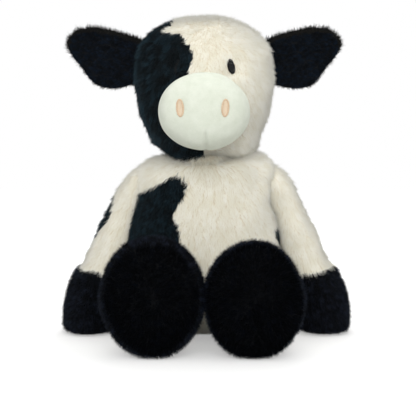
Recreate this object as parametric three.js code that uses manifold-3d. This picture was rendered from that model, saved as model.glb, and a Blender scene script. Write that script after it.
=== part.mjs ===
// A sitting plush cow, a stuffed toy of fur cloth, in millimetres.
// +Z is up, -Y is the way the cow faces and +X is the cow's own left side.
// The origin is the middle of the flat seat, on the surface that the cow sits on.
// Every soft member is a cloth skin of several panels round its own stuffing.
import * as THREE from 'three';
import { mergeVertices } from 'three/addons/utils/BufferGeometryUtils.js';
import Module from 'manifold-3d';

const wasm = await Module();
wasm.setup();

// Cloth and clearances
const cloth = {
	fur: 3, // cloth with a pile, of the body, head, limbs and hooves
	velour: 2.4, // short-pile cloth of the muzzle
	embroidery: 1.2, // height of the stitched eyes and nostrils
	gap: 0.35, // between two pieces that touch
	seam: 0.4, // between two panels of one skin
	turning: 0.6, // between the torso and an arm that turns against it
};
const settle = 0.5; // how deep the stuffing flattens on the floor
const overrun = 30; // how far a cut runs past what it cuts
const weld = 0.0005; // points nearer than this are one point
const hiddenShare = 0.6; // sides of a hidden face, as a share of the visible one's
const mitreShare = 0.5; // keeps the corner of a widened outline within twice what it is widened by

// Torso: rows of [height, half width, front, back], as shares of the sizes of the same names
const torso = { height: 189, width: 172, front: 60, back: 62, sides: 20 };
const torsoShares = [
	[0, 0, 0, 0],
	[0.006, 0.56, 0.5, 0.56],
	[0.03, 0.79, 0.72, 0.8],
	[0.085, 0.91, 0.87, 0.93],
	[0.2, 0.99, 0.98, 1],
	[0.4, 1, 1, 0.98],
	[0.58, 0.965, 0.95, 0.87],
	[0.72, 0.915, 0.87, 0.78],
	[0.84, 0.86, 0.77, 0.73],
	[0.91, 0.82, 0.67, 0.66],
	[0.96, 0.67, 0.53, 0.55],
	[0.99, 0.43, 0.33, 0.37],
	[1, 0, 0, 0],
];

// Neck: a ball of stuffing that rises out of the torso's neck hole into the head
const neck = { sunk: 31, back: 2, radius: 40, rise: 16, sides: 26, arcs: 8 };

// Head: rows as the torso's
const head = { height: 151, width: 152, front: 62, back: 62, seat: 9, sides: 20 };
const headShares = [
	[0, 0, 0, 0],
	[0.025, 0.42, 0.43, 0.42],
	[0.075, 0.65, 0.68, 0.62],
	[0.15, 0.79, 0.84, 0.76],
	[0.27, 0.895, 0.95, 0.89],
	[0.42, 0.975, 1, 0.98],
	[0.6, 1, 0.98, 1],
	[0.74, 0.96, 0.89, 0.93],
	[0.86, 0.81, 0.71, 0.77],
	[0.94, 0.58, 0.5, 0.54],
	[0.985, 0.31, 0.27, 0.29],
	[1, 0, 0, 0],
];

// Muzzle: a puffy oval pad on the lower face; rows of [reach, half width, half height]
const muzzle = { width: 89, height: 75, reach: 43, root: 30, up: 44, sides: 14 };
const muzzleShares = [
	[0, 0.98, 0.98],
	[0.42, 1, 1],
	[0.66, 0.965, 0.96],
	[0.83, 0.84, 0.83],
	[0.94, 0.6, 0.59],
	[0.99, 0.3, 0.3],
];
const nostril = { width: 7, height: 16, apart: 43, above: 2, sides: 8 };
const eye = { width: 7, height: 16, apart: 53, up: 92, sides: 8 };

// Ears: rows of [length, half width, half thickness, rise of the middle, as a share of the half
// width], from inside the head to the tip
const earRootShare = 0.95; // where an ear's fold lies, as a share of the head's half width
const ear = {
	length: 80,
	width: 64,
	thickness: 12,
	root: 12, // how far the form starts inside the head, before the head cuts it
	rise: 12, // degrees that the ear points up
	up: 100, // height of its middle at the root, above the head's base
	back: 3, // how far behind the head's middle it is sewn
	rim: 5, // fringe of the outer cloth round the lining
	hingeTilt: 12, // degrees that the sewn line leans in at its top
	forward: 45,
	backward: 30,
	sides: 10,
};
const earShares = [
	[0, 0.72, 0.8, 0],
	[0.13, 0.82, 0.9, -0.02],
	[0.26, 0.93, 1, -0.06],
	[0.42, 0.98, 1, -0.08],
	[0.57, 0.97, 0.95, -0.06],
	[0.68, 0.88, 0.9, 0.01],
	[0.78, 0.7, 0.8, 0.1],
	[0.88, 0.53, 0.62, 0.16],
	[0.95, 0.33, 0.4, 0.17],
	[1, 0, 0, 0.16],
];

// Arms: rows of [length from the shoulder, radius, sway of the middle outwards, as a share of the
// length]; the sleeve's, then the hoof's
const arm = {
	length: 170,
	shoulder: 18, // radius at the shoulder
	lean: 22, // degrees out from straight down
	insetLeft: 3.5, // how far inside the torso's side the left one's axis crosses its shoulder
	insetRight: 9, // the right one hangs a little closer
	up: 152, // height of the shoulder
	floorGap: 1, // the hooves hang just clear of the floor
	sides: 14,
};
const sleeveShares = [
	[-0.18, 0, -0.009],
	[-0.17, 0.34, -0.009],
	[-0.14, 0.6, -0.008],
	[-0.09, 0.8, -0.005],
	[-0.02, 0.92, 0],
	[0.07, 0.96, 0.005],
	[0.2, 0.96, 0.012],
	[0.34, 0.95, 0.02],
	[0.47, 1, 0.021],
	[0.545, 1.08, 0.02],
];
const hoof = { radius: 26, seamShare: 0.555 };
const hoofShares = [
	[0.568, 0.8, 0.02],
	[0.6, 0.9, 0.019],
	[0.666, 0.97, 0.013],
	[0.752, 1, 0.003],
	[0.85, 1, -0.015],
	[0.915, 0.93, -0.03],
	[0.955, 0.8, -0.038],
	[0.985, 0.5, -0.045],
	[1, 0, -0.05],
];

// The room in which an arm swings: rows of [distance from the swing's axis, how far out it starts],
// as shares of the arm's length and of half the torso's width
const armRoom = { reachShare: 1.12, sides: 18 };
const armRoomShares = [
	[0, 0.75],
	[0.1, 0.78],
	[0.165, 0.82],
	[0.22, 0.9],
	[0.29, 0.965],
	[0.405, 0.995],
	[0.68, 1.14],
];

// Legs: rows of [length, half width, half height], from inside the torso to the sole
const leg = { length: 118, width: 82, height: 86, past: 70, up: 51, lift: 30, sides: 14 };
const legShares = [
	[0, 0.9, 0.9],
	[0.3, 0.98, 0.98],
	[0.62, 1, 1],
];
const foot = { width: 93.4, height: 112, up: 55.5, seamShare: 0.67, soleShare: 0.93 };
const footShares = [
	[0.7, 0.94, 0.88],
	[0.77, 0.995, 0.97],
	[0.87, 1, 1],
	[0.925, 0.965, 0.97],
	[0.965, 0.82, 0.83],
	[0.99, 0.5, 0.51],
	[1, 0, 0],
];
// Where the leg folds on the belly, above the middle of its root, and how many steps clear its lift
const hip = { above: 20, before: 2, steps: 2 };

// Tail: rows of [length, radius]; the tube's, then the tuft's
const tail = { length: 62, radius: 5.5, up: 74, sunk: 3, tilt: 7, sides: 8 };
const tailShares = [
	[-0.08, 0],
	[-0.05, 0.7],
	[0, 1],
	[0.3, 0.95],
	[0.6, 0.9],
];
const tuft = { radius: 10, seamShare: 0.58 };
const tuftShares = [
	[0.66, 0.8],
	[0.78, 1],
	[0.9, 0.8],
	[0.98, 0.4],
	[1, 0],
];

// Weighted bead pouch that lies in the seat, under the stuffing
const pouch = { radius: 46, thickness: 14, sides: 12 };
const pouchShares = [
	[0, -1],
	[0.8, -0.85],
	[1, 0],
	[0.8, 0.85],
	[0, 1],
];

// Outlines of the black patches, as shares of the half width and the height of what they are on
const headPatchShares = [
	[-0.45, 1.05],
	[-0.5, 0.92],
	[-0.6, 0.87],
	[-0.5, 0.845],
	[-0.35, 0.835],
	[-0.22, 0.77],
	[-0.15, 0.7],
	[-0.14, 0.66],
	[-0.2, 0.59],
	[-0.1, 0.4],
	[0, 0.2],
	[0, -0.05],
	[-1.2, -0.05],
	[-1.2, 1.05],
];
const headPatchBack = 22; // how far behind the head's middle its patch reaches
const chestPatchShares = [
	[-0.31, 0.935],
	[-0.2, 0.87],
	[-0.225, 0.8],
	[-0.32, 0.74],
	[-0.385, 0.67],
	[-0.33, 0.655],
	[-0.28, 0.6],
	[-0.3, 0.45],
	[-0.42, 0.25],
	[-1.1, 0.22],
	[-1.1, 0.8],
	[-0.76, 0.81],
	[-0.62, 0.84],
	[-0.5, 0.89],
];
const flankPatchShares = [
	[0.4, 0.62],
	[0.62, 0.67],
	[1.1, 0.66],
	[1.1, 0.34],
	[0.72, 0.3],
	[0.5, 0.36],
	[0.33, 0.46],
];
// The patch on the right sleeve: rows of [across, down], as shares of the arm's radius and length,
// seen from the side, from the middle of the depth backwards
const armPatchShares = [
	[0.1, 0.09],
	[0.5, 0.05],
	[1.4, 0.1],
	[1.4, 0.36],
	[0.6, 0.4],
	[0.05, 0.32],
	[-0.2, 0.2],
];
const patchedArm = 'right';

const looks = {
	creamFur: { color: 0xece7d6, roughness: 0.95 },
	blackFur: { color: 0x12171b, roughness: 0.9 },
	muzzleVelour: { color: 0xeaeedd, roughness: 0.9 },
	hoofVelour: { color: 0x0e1115, roughness: 0.8 },
	earVelour: { color: 0x14181d, roughness: 0.85 },
	nostrilThread: { color: 0xe9cfae, roughness: 0.6 },
	eyeThread: { color: 0x2a2a2a, roughness: 0.5 },
	filling: { color: 0xf5f5f2, roughness: 1 },
	pouchCloth: { color: 0xd9d4c6, roughness: 0.95 },
};
const materials = Object.fromEntries(
	Object.entries(looks).map(([look, values]) => [
		look,
		new THREE.MeshStandardMaterial({ ...values, metalness: 0 }),
	]),
);

// Places worked out from the sizes above
const radians = THREE.MathUtils.degToRad;
const neckHeight = torso.height - neck.sunk;
const headBase = neckHeight + neck.radius - head.seat;
const legSide = foot.width / 2 + cloth.gap;
const legStart = torso.front + leg.past - leg.length;
const hipPoint = { before: torso.front + hip.before, up: leg.up + hip.above };
const armOut = (side) => torso.width / 2 - (side > 0 ? arm.insetLeft : arm.insetRight);

// Hidden inner faces take fewer sides than the outer form
function sidesOf(size, inset) {
	return inset > 0 ? Math.round(size.sides * hiddenShare) : size.sides;
}

// Turns a geometry into a closed solid: one point where points coincide, no triangle without area
// and all faces outwards.
function solid(geometry) {
	const bare = geometry.index ? geometry.toNonIndexed() : geometry.clone();
	bare.deleteAttribute('normal');
	bare.deleteAttribute('uv');
	const welded = mergeVertices(bare, weld);
	const place = welded.getAttribute('position');
	const corners = [];
	let volume = 0;
	for (let i = 0; i < welded.index.count; i += 3) {
		const [a, b, c] = [0, 1, 2].map((corner) => welded.index.getX(i + corner));
		if (a === b || b === c || c === a) continue;
		corners.push(a, b, c);
		const [p, q, r] = [a, b, c].map((n) => new THREE.Vector3().fromBufferAttribute(place, n));
		volume += p.dot(q.cross(r));
	}
	if (volume < 0) corners.reverse();
	return new wasm.Manifold(
		new wasm.Mesh({
			numProp: 3,
			vertProperties: place.array,
			triVerts: new Uint32Array(corners),
		}),
	);
}

// The named piece of a solid, in one of the looks
function piece(name, form, look) {
	const mesh = form.getMesh();
	const geometry = new THREE.BufferGeometry();
	geometry.setAttribute('position', new THREE.BufferAttribute(mesh.vertProperties, 3));
	geometry.setIndex(new THREE.BufferAttribute(mesh.triVerts, 1));
	geometry.computeVertexNormals();
	const made = new THREE.Mesh(geometry, materials[look]);
	made.name = name;
	return made;
}

// A closed form turned about Z from rows of [radius, height]
function turned(rows, sides) {
	const points = rows.map(([radius, height]) => new THREE.Vector2(Math.max(radius, 0), height));
	return new THREE.LatheGeometry(points, sides).rotateX(Math.PI / 2);
}

// Rounds a turned form to half widths, fronts and backs of its own in each row
function shaped(rows, sides) {
	const form = turned(rows.map(([height, across]) => [across, height]), sides);
	const place = form.getAttribute('position');
	for (let i = 0; i < place.count; i += 1) {
		const [, across, front, back] = rows[i % rows.length];
		const depth = place.getY(i) < 0 ? front : back;
		place.setY(i, across > 0 ? (place.getY(i) * depth) / across : 0);
	}
	return form;
}

// Moves each row of a turned form sideways by the row's last value
function swayed(form, rows) {
	const place = form.getAttribute('position');
	for (let i = 0; i < place.count; i += 1) {
		place.setX(i, place.getX(i) + rows[i % rows.length][4]);
	}
	return form;
}

// The outer form of the torso or the head, or one inset from it all round
function body(shares, size, inset = 0) {
	const half = size.width / 2 - inset;
	const rise = size.height - inset * 2;
	const rows = shares.map(([up, across, front, back]) => [
		up * rise + inset,
		across * half,
		front * (size.front - inset),
		back * (size.back - inset),
	]);
	return shaped(rows, sidesOf(size, inset));
}

function torsoForm(inset = 0) {
	const deep = { ...torso, height: torso.height + settle };
	return body(torsoShares, deep, inset).translate(0, 0, -settle);
}

function headForm(inset = 0) {
	return body(headShares, head, inset).translate(0, 0, headBase);
}

// A block that starts at a plane and runs along its local Z
function halfSpace(size) {
	return new THREE.BoxGeometry(size, size, size).translate(0, 0, size / 2);
}

const roomShare = 4; // cutting blocks are this many times as large as the cow
const room = roomShare * (torso.height + head.height);

// A ball of the neck's radius, whose faces lie inside that radius, or outside it for a hollow
function neckBall(grow = 0) {
	const step = Math.PI / (neck.arcs * 2);
	const flats = Math.cos(Math.PI / neck.sides) * Math.cos(step / 2);
	const radius = grow > 0 ? (neck.radius + grow) / flats : neck.radius;
	const rows = [];
	for (let arc = -neck.arcs; arc <= neck.arcs; arc += 1) {
		rows.push([radius * Math.cos(arc * step), radius * Math.sin(arc * step)]);
	}
	rows[0][0] = 0;
	rows[rows.length - 1][0] = 0;
	return solid(turned(rows, neck.sides).translate(0, neck.back, neckHeight));
}

function neckPlug(grow = 0) {
	const above = halfSpace(room).translate(0, 0, neckHeight + neck.rise - grow);
	return neckBall(grow).intersect(solid(above));
}

// A block with a flat outline, seen from the front, from one depth to another
function slab(outline, front, back) {
	const shape = new THREE.Shape(outline.map(([across, up]) => new THREE.Vector2(across, up)));
	const block = new THREE.ExtrudeGeometry(shape, { depth: back - front, bevelEnabled: false });
	return solid(block.rotateX(Math.PI / 2).translate(0, back, 0));
}

// An outline moved outwards all round
function widened(outline, by) {
	const points = outline.map(([across, up]) => new THREE.Vector2(across, up));
	const turn = THREE.ShapeUtils.isClockWise(points) ? -1 : 1;
	return points.map((point, i) => {
		const last = points[(i + points.length - 1) % points.length];
		const next = points[(i + 1) % points.length];
		const first = point.clone().sub(last).normalize();
		const second = next.clone().sub(point).normalize();
		const out = new THREE.Vector2(first.y + second.y, -first.x - second.x).normalize();
		const reach = by / Math.max(out.dot(new THREE.Vector2(first.y, -first.x)), mitreShare);
		return point.clone().addScaledVector(out, turn * reach).toArray();
	});
}

// Parts a skin into the panel inside an outline and the rest of the skin
function inlaid(skin, outline, front, back) {
	const panel = skin.intersect(slab(outline, front, back));
	const rest = skin.subtract(slab(widened(outline, cloth.seam), front, back + cloth.seam));
	return { panel, rest };
}

// An outline's shares in real sizes
function outlineOf(shares, halfWidth, base, height) {
	return shares.map(([across, up]) => [across * halfWidth, base + up * height]);
}

// An upright oval block, from the front of the head backwards
function ovalSlab(size, across, up) {
	const outline = [];
	for (let i = 0; i < size.sides; i += 1) {
		const turn = (i / size.sides) * Math.PI * 2;
		outline.push([across + (size.width / 2) * Math.cos(turn), up + (size.height / 2) * Math.sin(turn)]);
	}
	return slab(outline, -head.front - muzzle.reach - overrun, -head.front / 2);
}

// Space outside the torso, turned about the line through the shoulders, in which an arm swings
function armSpace(side, shift = 0) {
	const rows = armRoomShares.map(([away, out]) => [
		away * arm.length,
		(out * torso.width) / 2 + shift,
	]);
	const reach = arm.length * armRoom.reachShare;
	const far = armOut(side) + arm.length;
	rows.push([reach, rows[rows.length - 1][1]], [reach, far], [0, far]);
	const space = turned(rows, armRoom.sides).rotateY((side * Math.PI) / 2);
	return solid(space.translate(0, 0, arm.up));
}

// The torso's form, flat under its seat and clear of the swinging arms, or one inset from it
function torsoSolid(inset = 0) {
	return solid(torsoForm(inset))
		.subtract(solid(halfSpace(room).rotateX(Math.PI).translate(0, 0, inset)))
		.subtract(armSpace(1, -inset))
		.subtract(armSpace(-1, -inset));
}

function makeTorso() {
	const skin = torsoSolid().subtract(torsoSolid(cloth.fur)).subtract(neckBall(cloth.gap));
	const outline = (shares) => outlineOf(shares, torso.width / 2, 0, torso.height);
	const chest = inlaid(skin, outline(chestPatchShares), -torso.front - overrun, 0);
	const flank = inlaid(chest.rest, outline(flankPatchShares), cloth.seam, torso.back + overrun);
	const inside = torsoSolid(cloth.fur + cloth.gap);
	const stuffing = inside.subtract(neckPlug(cloth.gap)).subtract(pouchForm(cloth.gap));
	return [
		piece('torso_skin', flank.rest, 'creamFur'),
		piece('chest_patch', chest.panel, 'blackFur'),
		piece('flank_patch', flank.panel, 'blackFur'),
		piece('torso_filling', stuffing, 'filling'),
		piece('seat_bead_pouch', pouchForm().intersect(inside), 'pouchCloth'),
	];
}

function pouchForm(grow = 0) {
	const radius = pouch.radius + grow;
	const half = pouch.thickness / 2 + grow;
	const rows = pouchShares.map(([out, up]) => [out * radius, up * half]);
	const height = cloth.fur + cloth.gap + pouch.thickness / 2;
	return solid(turned(rows, pouch.sides).translate(0, 0, height));
}

function makeNeck() {
	return [piece('neck_filling', neckPlug(), 'filling')];
}

// The muzzle's pad, with its flat back inside the head
function muzzleForm(inset = 0) {
	const reach = muzzle.root + muzzle.reach - inset;
	const rows = muzzleShares.map(([along, across, up]) => [
		along * reach,
		across * (muzzle.width / 2 - inset),
		up * (muzzle.height / 2 - inset),
		up * (muzzle.height / 2 - inset),
	]);
	rows.unshift([0, 0, 0, 0]);
	rows.push([reach, 0, 0, 0]);
	const pad = shaped(rows, sidesOf(muzzle, inset)).rotateX(Math.PI / 2);
	return pad.translate(0, muzzle.root - head.front, headBase + muzzle.up);
}

function makeHead() {
	const gap = cloth.gap;
	const inner = solid(headForm(cloth.fur));
	const skin = solid(headForm()).subtract(inner).subtract(neckBall(gap));
	const outline = outlineOf(headPatchShares, head.width / 2, headBase, head.height);
	const patch = inlaid(skin, outline, -head.front - overrun, headPatchBack);
	const stuffing = solid(headForm(cloth.fur + gap)).subtract(neckBall(gap));

	const face = solid(headForm(-gap));
	const pad = solid(muzzleForm());
	const padInner = solid(muzzleForm(cloth.velour));
	const muzzleSkin = pad.subtract(padInner).subtract(face);
	const muzzleStuffing = solid(muzzleForm(cloth.velour + gap)).subtract(face);

	const pieces = [
		piece('head_skin', patch.rest, 'creamFur'),
		piece('head_patch', patch.panel, 'blackFur'),
		piece('head_filling', stuffing, 'filling'),
		piece('muzzle_skin', muzzleSkin, 'muzzleVelour'),
		piece('muzzle_filling', muzzleStuffing, 'filling'),
	];
	const nostrilSkin = solid(muzzleForm(-gap - cloth.embroidery)).subtract(solid(muzzleForm(-gap)));
	const eyeSkin = solid(headForm(-gap - cloth.embroidery)).subtract(face);
	for (const [name, side] of [['left', 1], ['right', -1]]) {
		const at = headBase + muzzle.up + nostril.above;
		const hole = nostrilSkin.intersect(ovalSlab(nostril, (side * nostril.apart) / 2, at));
		pieces.push(piece(`nostril_${name}`, hole, 'nostrilThread'));
		const stitched = eyeSkin.intersect(ovalSlab(eye, (side * eye.apart) / 2, headBase + eye.up));
		pieces.push(piece(`eye_${name}`, stitched, 'eyeThread'));
	}
	return pieces;
}

// Where an ear is sewn to the head: a point on the fold and the direction of the fold
function earFold(side) {
	const out = (side * head.width) / 2;
	const point = new THREE.Vector3(out * earRootShare, ear.back, headBase + ear.up);
	const tilt = radians(ear.hingeTilt);
	const along = new THREE.Vector3(-side * Math.sin(tilt), 0, Math.cos(tilt));
	return { point, along };
}

// A geometry turned about a line
function swung(geometry, point, axis, angle) {
	return geometry
		.translate(-point.x, -point.y, -point.z)
		.applyMatrix4(new THREE.Matrix4().makeRotationAxis(axis, angle))
		.translate(point.x, point.y, point.z);
}

function earForm(side, inset = 0) {
	const length = ear.length + ear.root - inset;
	const half = ear.width / 2;
	const rows = earShares.map(([along, across, thick, rise]) => [
		along * length,
		Math.max(thick * (ear.thickness / 2 - inset / ear.rim), 0),
		across * (half - inset),
		across * (half - inset),
		rise * half * -side,
	]);
	rows.unshift([0, 0, 0, 0, 0]);
	const start = new THREE.Vector3((side * head.width) / 2, ear.back, headBase + ear.up);
	return swayed(shaped(rows, ear.sides).rotateZ(Math.PI / 2), rows)
		.rotateY(side * (Math.PI / 2 - radians(ear.rise)))
		.translate(start.x * earRootShare - side * ear.root, start.y, start.z);
}

function makeEar(name, side) {
	const { point, along } = earFold(side);
	const clear = [0, -ear.backward, ear.forward].map((angle) => {
		const swing = side * radians(angle);
		return solid(swung(headForm(-cloth.gap), point, along, swing));
	});
	const front = solid(halfSpace(room).rotateX(Math.PI / 2).translate(0, ear.back + cloth.gap, 0));
	const behind = solid(halfSpace(room).rotateX(-Math.PI / 2).translate(0, ear.back, 0));
	let back = solid(earForm(side)).subtract(front);
	let lining = solid(earForm(side, ear.rim)).subtract(behind);
	for (const skull of clear) {
		back = back.subtract(skull);
		lining = lining.subtract(skull);
	}
	return [
		piece(`ear_${name}_back`, back, 'blackFur'),
		piece(`ear_${name}_lining`, lining, 'earVelour'),
	];
}

// Lays a form made along local Z, from the shoulder down to the hoof, in its place
function asArm(geometry, side) {
	const shoulder = new THREE.Vector3(side * armOut(side), 0, arm.up);
	const turn = side * (Math.PI - radians(arm.lean));
	return geometry.rotateY(turn).translate(shoulder.x, shoulder.y, shoulder.z);
}

function armForm(side, inset = 0) {
	const start = sleeveShares[0][0];
	const reach = (1 - start) * arm.length - inset * 2;
	const spread = (shares, radius) => shares.map(([along, out, sway]) => {
		const wide = out * (radius - inset);
		const from = start * arm.length + inset + ((along - start) / (1 - start)) * reach;
		return [from, wide, wide, wide, sway * arm.length * -side];
	});
	const rows = [...spread(sleeveShares, arm.shoulder), ...spread(hoofShares, hoof.radius)];
	return asArm(swayed(shaped(rows, sidesOf(arm, inset)), rows), side);
}

function makeArm(name, side) {
	const gap = cloth.gap;
	const ground = solid(halfSpace(room).rotateX(Math.PI).translate(0, 0, arm.floorGap));
	const wall = cloth.fur;
	const innerGround = solid(halfSpace(room).rotateX(Math.PI).translate(0, 0, arm.floorGap + wall));
	const stuffingGround = solid(
		halfSpace(room).rotateX(Math.PI).translate(0, 0, arm.floorGap + wall + gap),
	);
	const outer = solid(armForm(side)).intersect(armSpace(side, cloth.turning));
	const inner = solid(armForm(side, wall)).intersect(armSpace(side, cloth.turning + wall));
	const skin = outer.subtract(inner.subtract(innerGround)).subtract(ground);
	const wrist = arm.length * hoof.seamShare;
	const below = solid(asArm(halfSpace(room).translate(0, 0, wrist), side));
	const above = solid(asArm(halfSpace(room).rotateX(Math.PI).translate(0, 0, wrist + cloth.seam), side));
	const inside = armSpace(side, cloth.turning + wall + gap);
	const stuffing = solid(armForm(side, wall + gap)).intersect(inside).subtract(stuffingGround);
	const sleeve = skin.subtract(below);
	const pieces = [
		piece(`arm_${name}_hoof`, skin.subtract(above), 'hoofVelour'),
		piece(`arm_${name}_filling`, stuffing, 'filling'),
	];
	if (name !== patchedArm) return [piece(`arm_${name}_sleeve`, sleeve, 'creamFur'), ...pieces];
	const patch = armPatchBlock(side);
	return [
		piece(`arm_${name}_sleeve`, sleeve.subtract(armPatchBlock(side, cloth.seam)), 'creamFur'),
		piece(`arm_${name}_patch`, sleeve.intersect(patch), 'blackFur'),
		...pieces,
	];
}

// A block that takes the patch out of a sleeve's outer side
function armPatchBlock(side, grow = 0) {
	const outline = armPatchShares.map(([across, down]) => [across * arm.shoulder, down * arm.length]);
	const points = widened(outline, grow).map(([across, down]) => new THREE.Vector2(across, down));
	const depth = arm.shoulder + overrun;
	const block = new THREE.ExtrudeGeometry(new THREE.Shape(points), { depth, bevelEnabled: false });
	const back = new THREE.Vector3(0, 1, 0);
	const down = new THREE.Vector3(0, 0, 1);
	const outwards = new THREE.Vector3(-side, 0, 0);
	block.translate(0, 0, -grow).applyMatrix4(new THREE.Matrix4().makeBasis(back, down, outwards));
	return solid(asArm(block, side));
}

// Lays a form made along local Z, from inside the torso forward to the sole, in its place
function asLeg(geometry, side) {
	return geometry.rotateX(Math.PI / 2).translate(side * legSide, -legStart, 0);
}

function legForm(side, inset = 0) {
	const spread = (shares, size) => shares.map(([along, across, up]) => [
		along * (leg.length - inset * 2) + inset,
		across * (size.width / 2 - inset),
		up * (size.height / 2 - inset),
		size.up,
	]);
	const rows = [...spread(legShares, leg), ...spread(footShares, foot)];
	rows.unshift([rows[0][0], 0, 0, leg.up]);
	const plain = rows.map(([along, across, up]) => [along, across, up, up]);
	const form = shaped(plain, sidesOf(leg, inset));
	const place = form.getAttribute('position');
	for (let i = 0; i < place.count; i += 1) {
		place.setY(i, place.getY(i) + rows[i % rows.length][3]);
	}
	return asLeg(form, side);
}

function makeLeg(name, side) {
	const gap = cloth.gap;
	const fold = new THREE.Vector3(0, -hipPoint.before, hipPoint.up);
	const across = new THREE.Vector3(1, 0, 0);
	const belly = [];
	for (let step = 0; step <= hip.steps; step += 1) {
		const angle = radians((leg.lift * step) / hip.steps);
		belly.push(solid(swung(torsoForm(-gap), fold, across, angle)));
	}
	const clear = (form) => belly.reduce((left, torsoAt) => left.subtract(torsoAt), form);
	const ground = (up) => solid(halfSpace(room).rotateX(Math.PI).translate(0, 0, up));
	const skin = solid(legForm(side))
		.subtract(ground(0))
		.subtract(solid(legForm(side, cloth.fur)).subtract(ground(cloth.fur)));
	const inside = solid(legForm(side, cloth.fur + gap)).subtract(ground(cloth.fur + gap));
	const plane = (share) => leg.length * share;
	const past = (along) => solid(asLeg(halfSpace(room).translate(0, 0, along), side));
	const before = (along) => solid(asLeg(halfSpace(room).rotateX(Math.PI).translate(0, 0, along), side));
	const ankle = plane(foot.seamShare);
	const sole = plane(foot.soleShare);
	return [
		piece(`leg_${name}_sleeve`, clear(skin.subtract(past(ankle))), 'creamFur'),
		piece(
			`foot_${name}_upper`,
			skin.subtract(before(ankle + cloth.seam)).subtract(past(sole)),
			'hoofVelour',
		),
		piece(`foot_${name}_sole`, skin.subtract(before(sole + cloth.seam)), 'hoofVelour'),
		piece(`leg_${name}_filling`, clear(inside), 'filling'),
	];
}

// Lays a form made along local Z, from the root down to the tuft, in its place
function asTail(geometry) {
	const back = torso.back + tail.radius - tail.sunk;
	return geometry.rotateX(Math.PI + radians(tail.tilt)).translate(0, back, tail.up);
}

function makeTail() {
	const rows = [
		...tailShares.map(([along, out]) => [along, out * tail.radius]),
		...tuftShares.map(([along, out]) => [along, out * tuft.radius]),
	].map(([along, radius]) => [radius, along * tail.length]);
	const whole = solid(asTail(turned(rows, tail.sides))).subtract(solid(torsoForm(-cloth.gap)));
	const seam = tail.length * tuft.seamShare;
	const below = solid(asTail(halfSpace(room).translate(0, 0, seam)));
	const above = solid(asTail(halfSpace(room).rotateX(Math.PI).translate(0, 0, seam + cloth.seam)));
	return [
		piece('tail_tube', whole.subtract(below), 'creamFur'),
		piece('tail_tuft', whole.subtract(above), 'blackFur'),
	];
}

export default new THREE.Group().add(
	...makeTorso(),
	...makeNeck(),
	...makeHead(),
	...makeEar('left', 1),
	...makeEar('right', -1),
	...makeArm('left', 1),
	...makeArm('right', -1),
	...makeLeg('left', 1),
	...makeLeg('right', -1),
	...makeTail(),
);
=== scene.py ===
"""A sitting plush cow in long-pile fur, dressed as its sewn pieces.

Sizes are in millimetres, and become metres where a mesh is made. Up is +Z, the cow
faces -Y, and +X is the cow's own left side.
"""

import logging
import math
from dataclasses import dataclass, field
from enum import Enum
from functools import reduce
from typing import Any, Sequence

import bpy
import numpy as np
from bpy.types import ID, Material, Mesh, Node, NodeSocket, NodeTree, Object, ShaderNode
from mathutils import Euler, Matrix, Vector
from mathutils.bvhtree import BVHTree


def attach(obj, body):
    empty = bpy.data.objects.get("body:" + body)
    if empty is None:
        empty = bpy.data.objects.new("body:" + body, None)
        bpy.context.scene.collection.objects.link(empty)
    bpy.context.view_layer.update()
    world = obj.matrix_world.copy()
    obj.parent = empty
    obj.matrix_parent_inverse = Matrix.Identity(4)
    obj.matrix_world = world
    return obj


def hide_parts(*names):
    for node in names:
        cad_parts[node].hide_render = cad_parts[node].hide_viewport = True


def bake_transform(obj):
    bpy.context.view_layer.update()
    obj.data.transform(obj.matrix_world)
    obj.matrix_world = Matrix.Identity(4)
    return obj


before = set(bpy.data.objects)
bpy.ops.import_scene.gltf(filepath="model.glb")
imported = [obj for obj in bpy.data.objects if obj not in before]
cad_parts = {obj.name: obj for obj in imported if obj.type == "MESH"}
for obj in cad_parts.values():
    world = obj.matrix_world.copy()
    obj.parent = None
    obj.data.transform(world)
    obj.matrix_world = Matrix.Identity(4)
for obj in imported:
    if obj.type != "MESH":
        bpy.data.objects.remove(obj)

Array = np.ndarray
Rows = Sequence[Sequence[float]]
Place = tuple[float, float, float]
Ends = tuple[bool, bool]

FORWARDS, DOWN = (0, -1, 0), (0, 0, -1)
MM = 0.001
MOST_STRANDS = 48000  # in one piece of fur
LOG = logging.getLogger("plush_cow")


class Side(Enum):
    """The cow's own left and right, as the sign of X."""

    LEFT = 1
    RIGHT = -1

    @property
    def word(self) -> str:
        """The side's name as it stands in a piece's name."""
        return self.name.lower()


class Slot(str, Enum):
    """The record's materials, by name; the pieces don't take their finish from them."""

    CREAM_FUR = "cream_fur"
    BLACK_FUR = "black_fur"
    MUZZLE = "muzzle_velour"
    HOOF = "hoof_velour"
    EAR = "ear_velour"
    NOSTRIL = "nostril_thread"
    EYE = "eye_thread"


# Numbers and curves


def linear(colour: str) -> tuple[float, float, float, float]:
    """Turns a colour written as six hexadecimal digits into linear light.

    Args:
        colour: the colour on a screen, such as "ece7d6".

    Returns:
        Red, green, blue and an opacity of 1.
    """
    shares = [int(colour[i : i + 2], 16) / 255 for i in (0, 2, 4)]
    lit = [c / 12.92 if c <= 0.04045 else ((c + 0.055) / 1.055) ** 2.4 for c in shares]
    return (*lit, 1.0)


def unit(vectors: Array) -> Array:
    """Gives each row of an array a length of 1."""
    size = np.linalg.norm(vectors, axis=-1, keepdims=True)
    return vectors / np.maximum(size, 1e-9)


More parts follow.
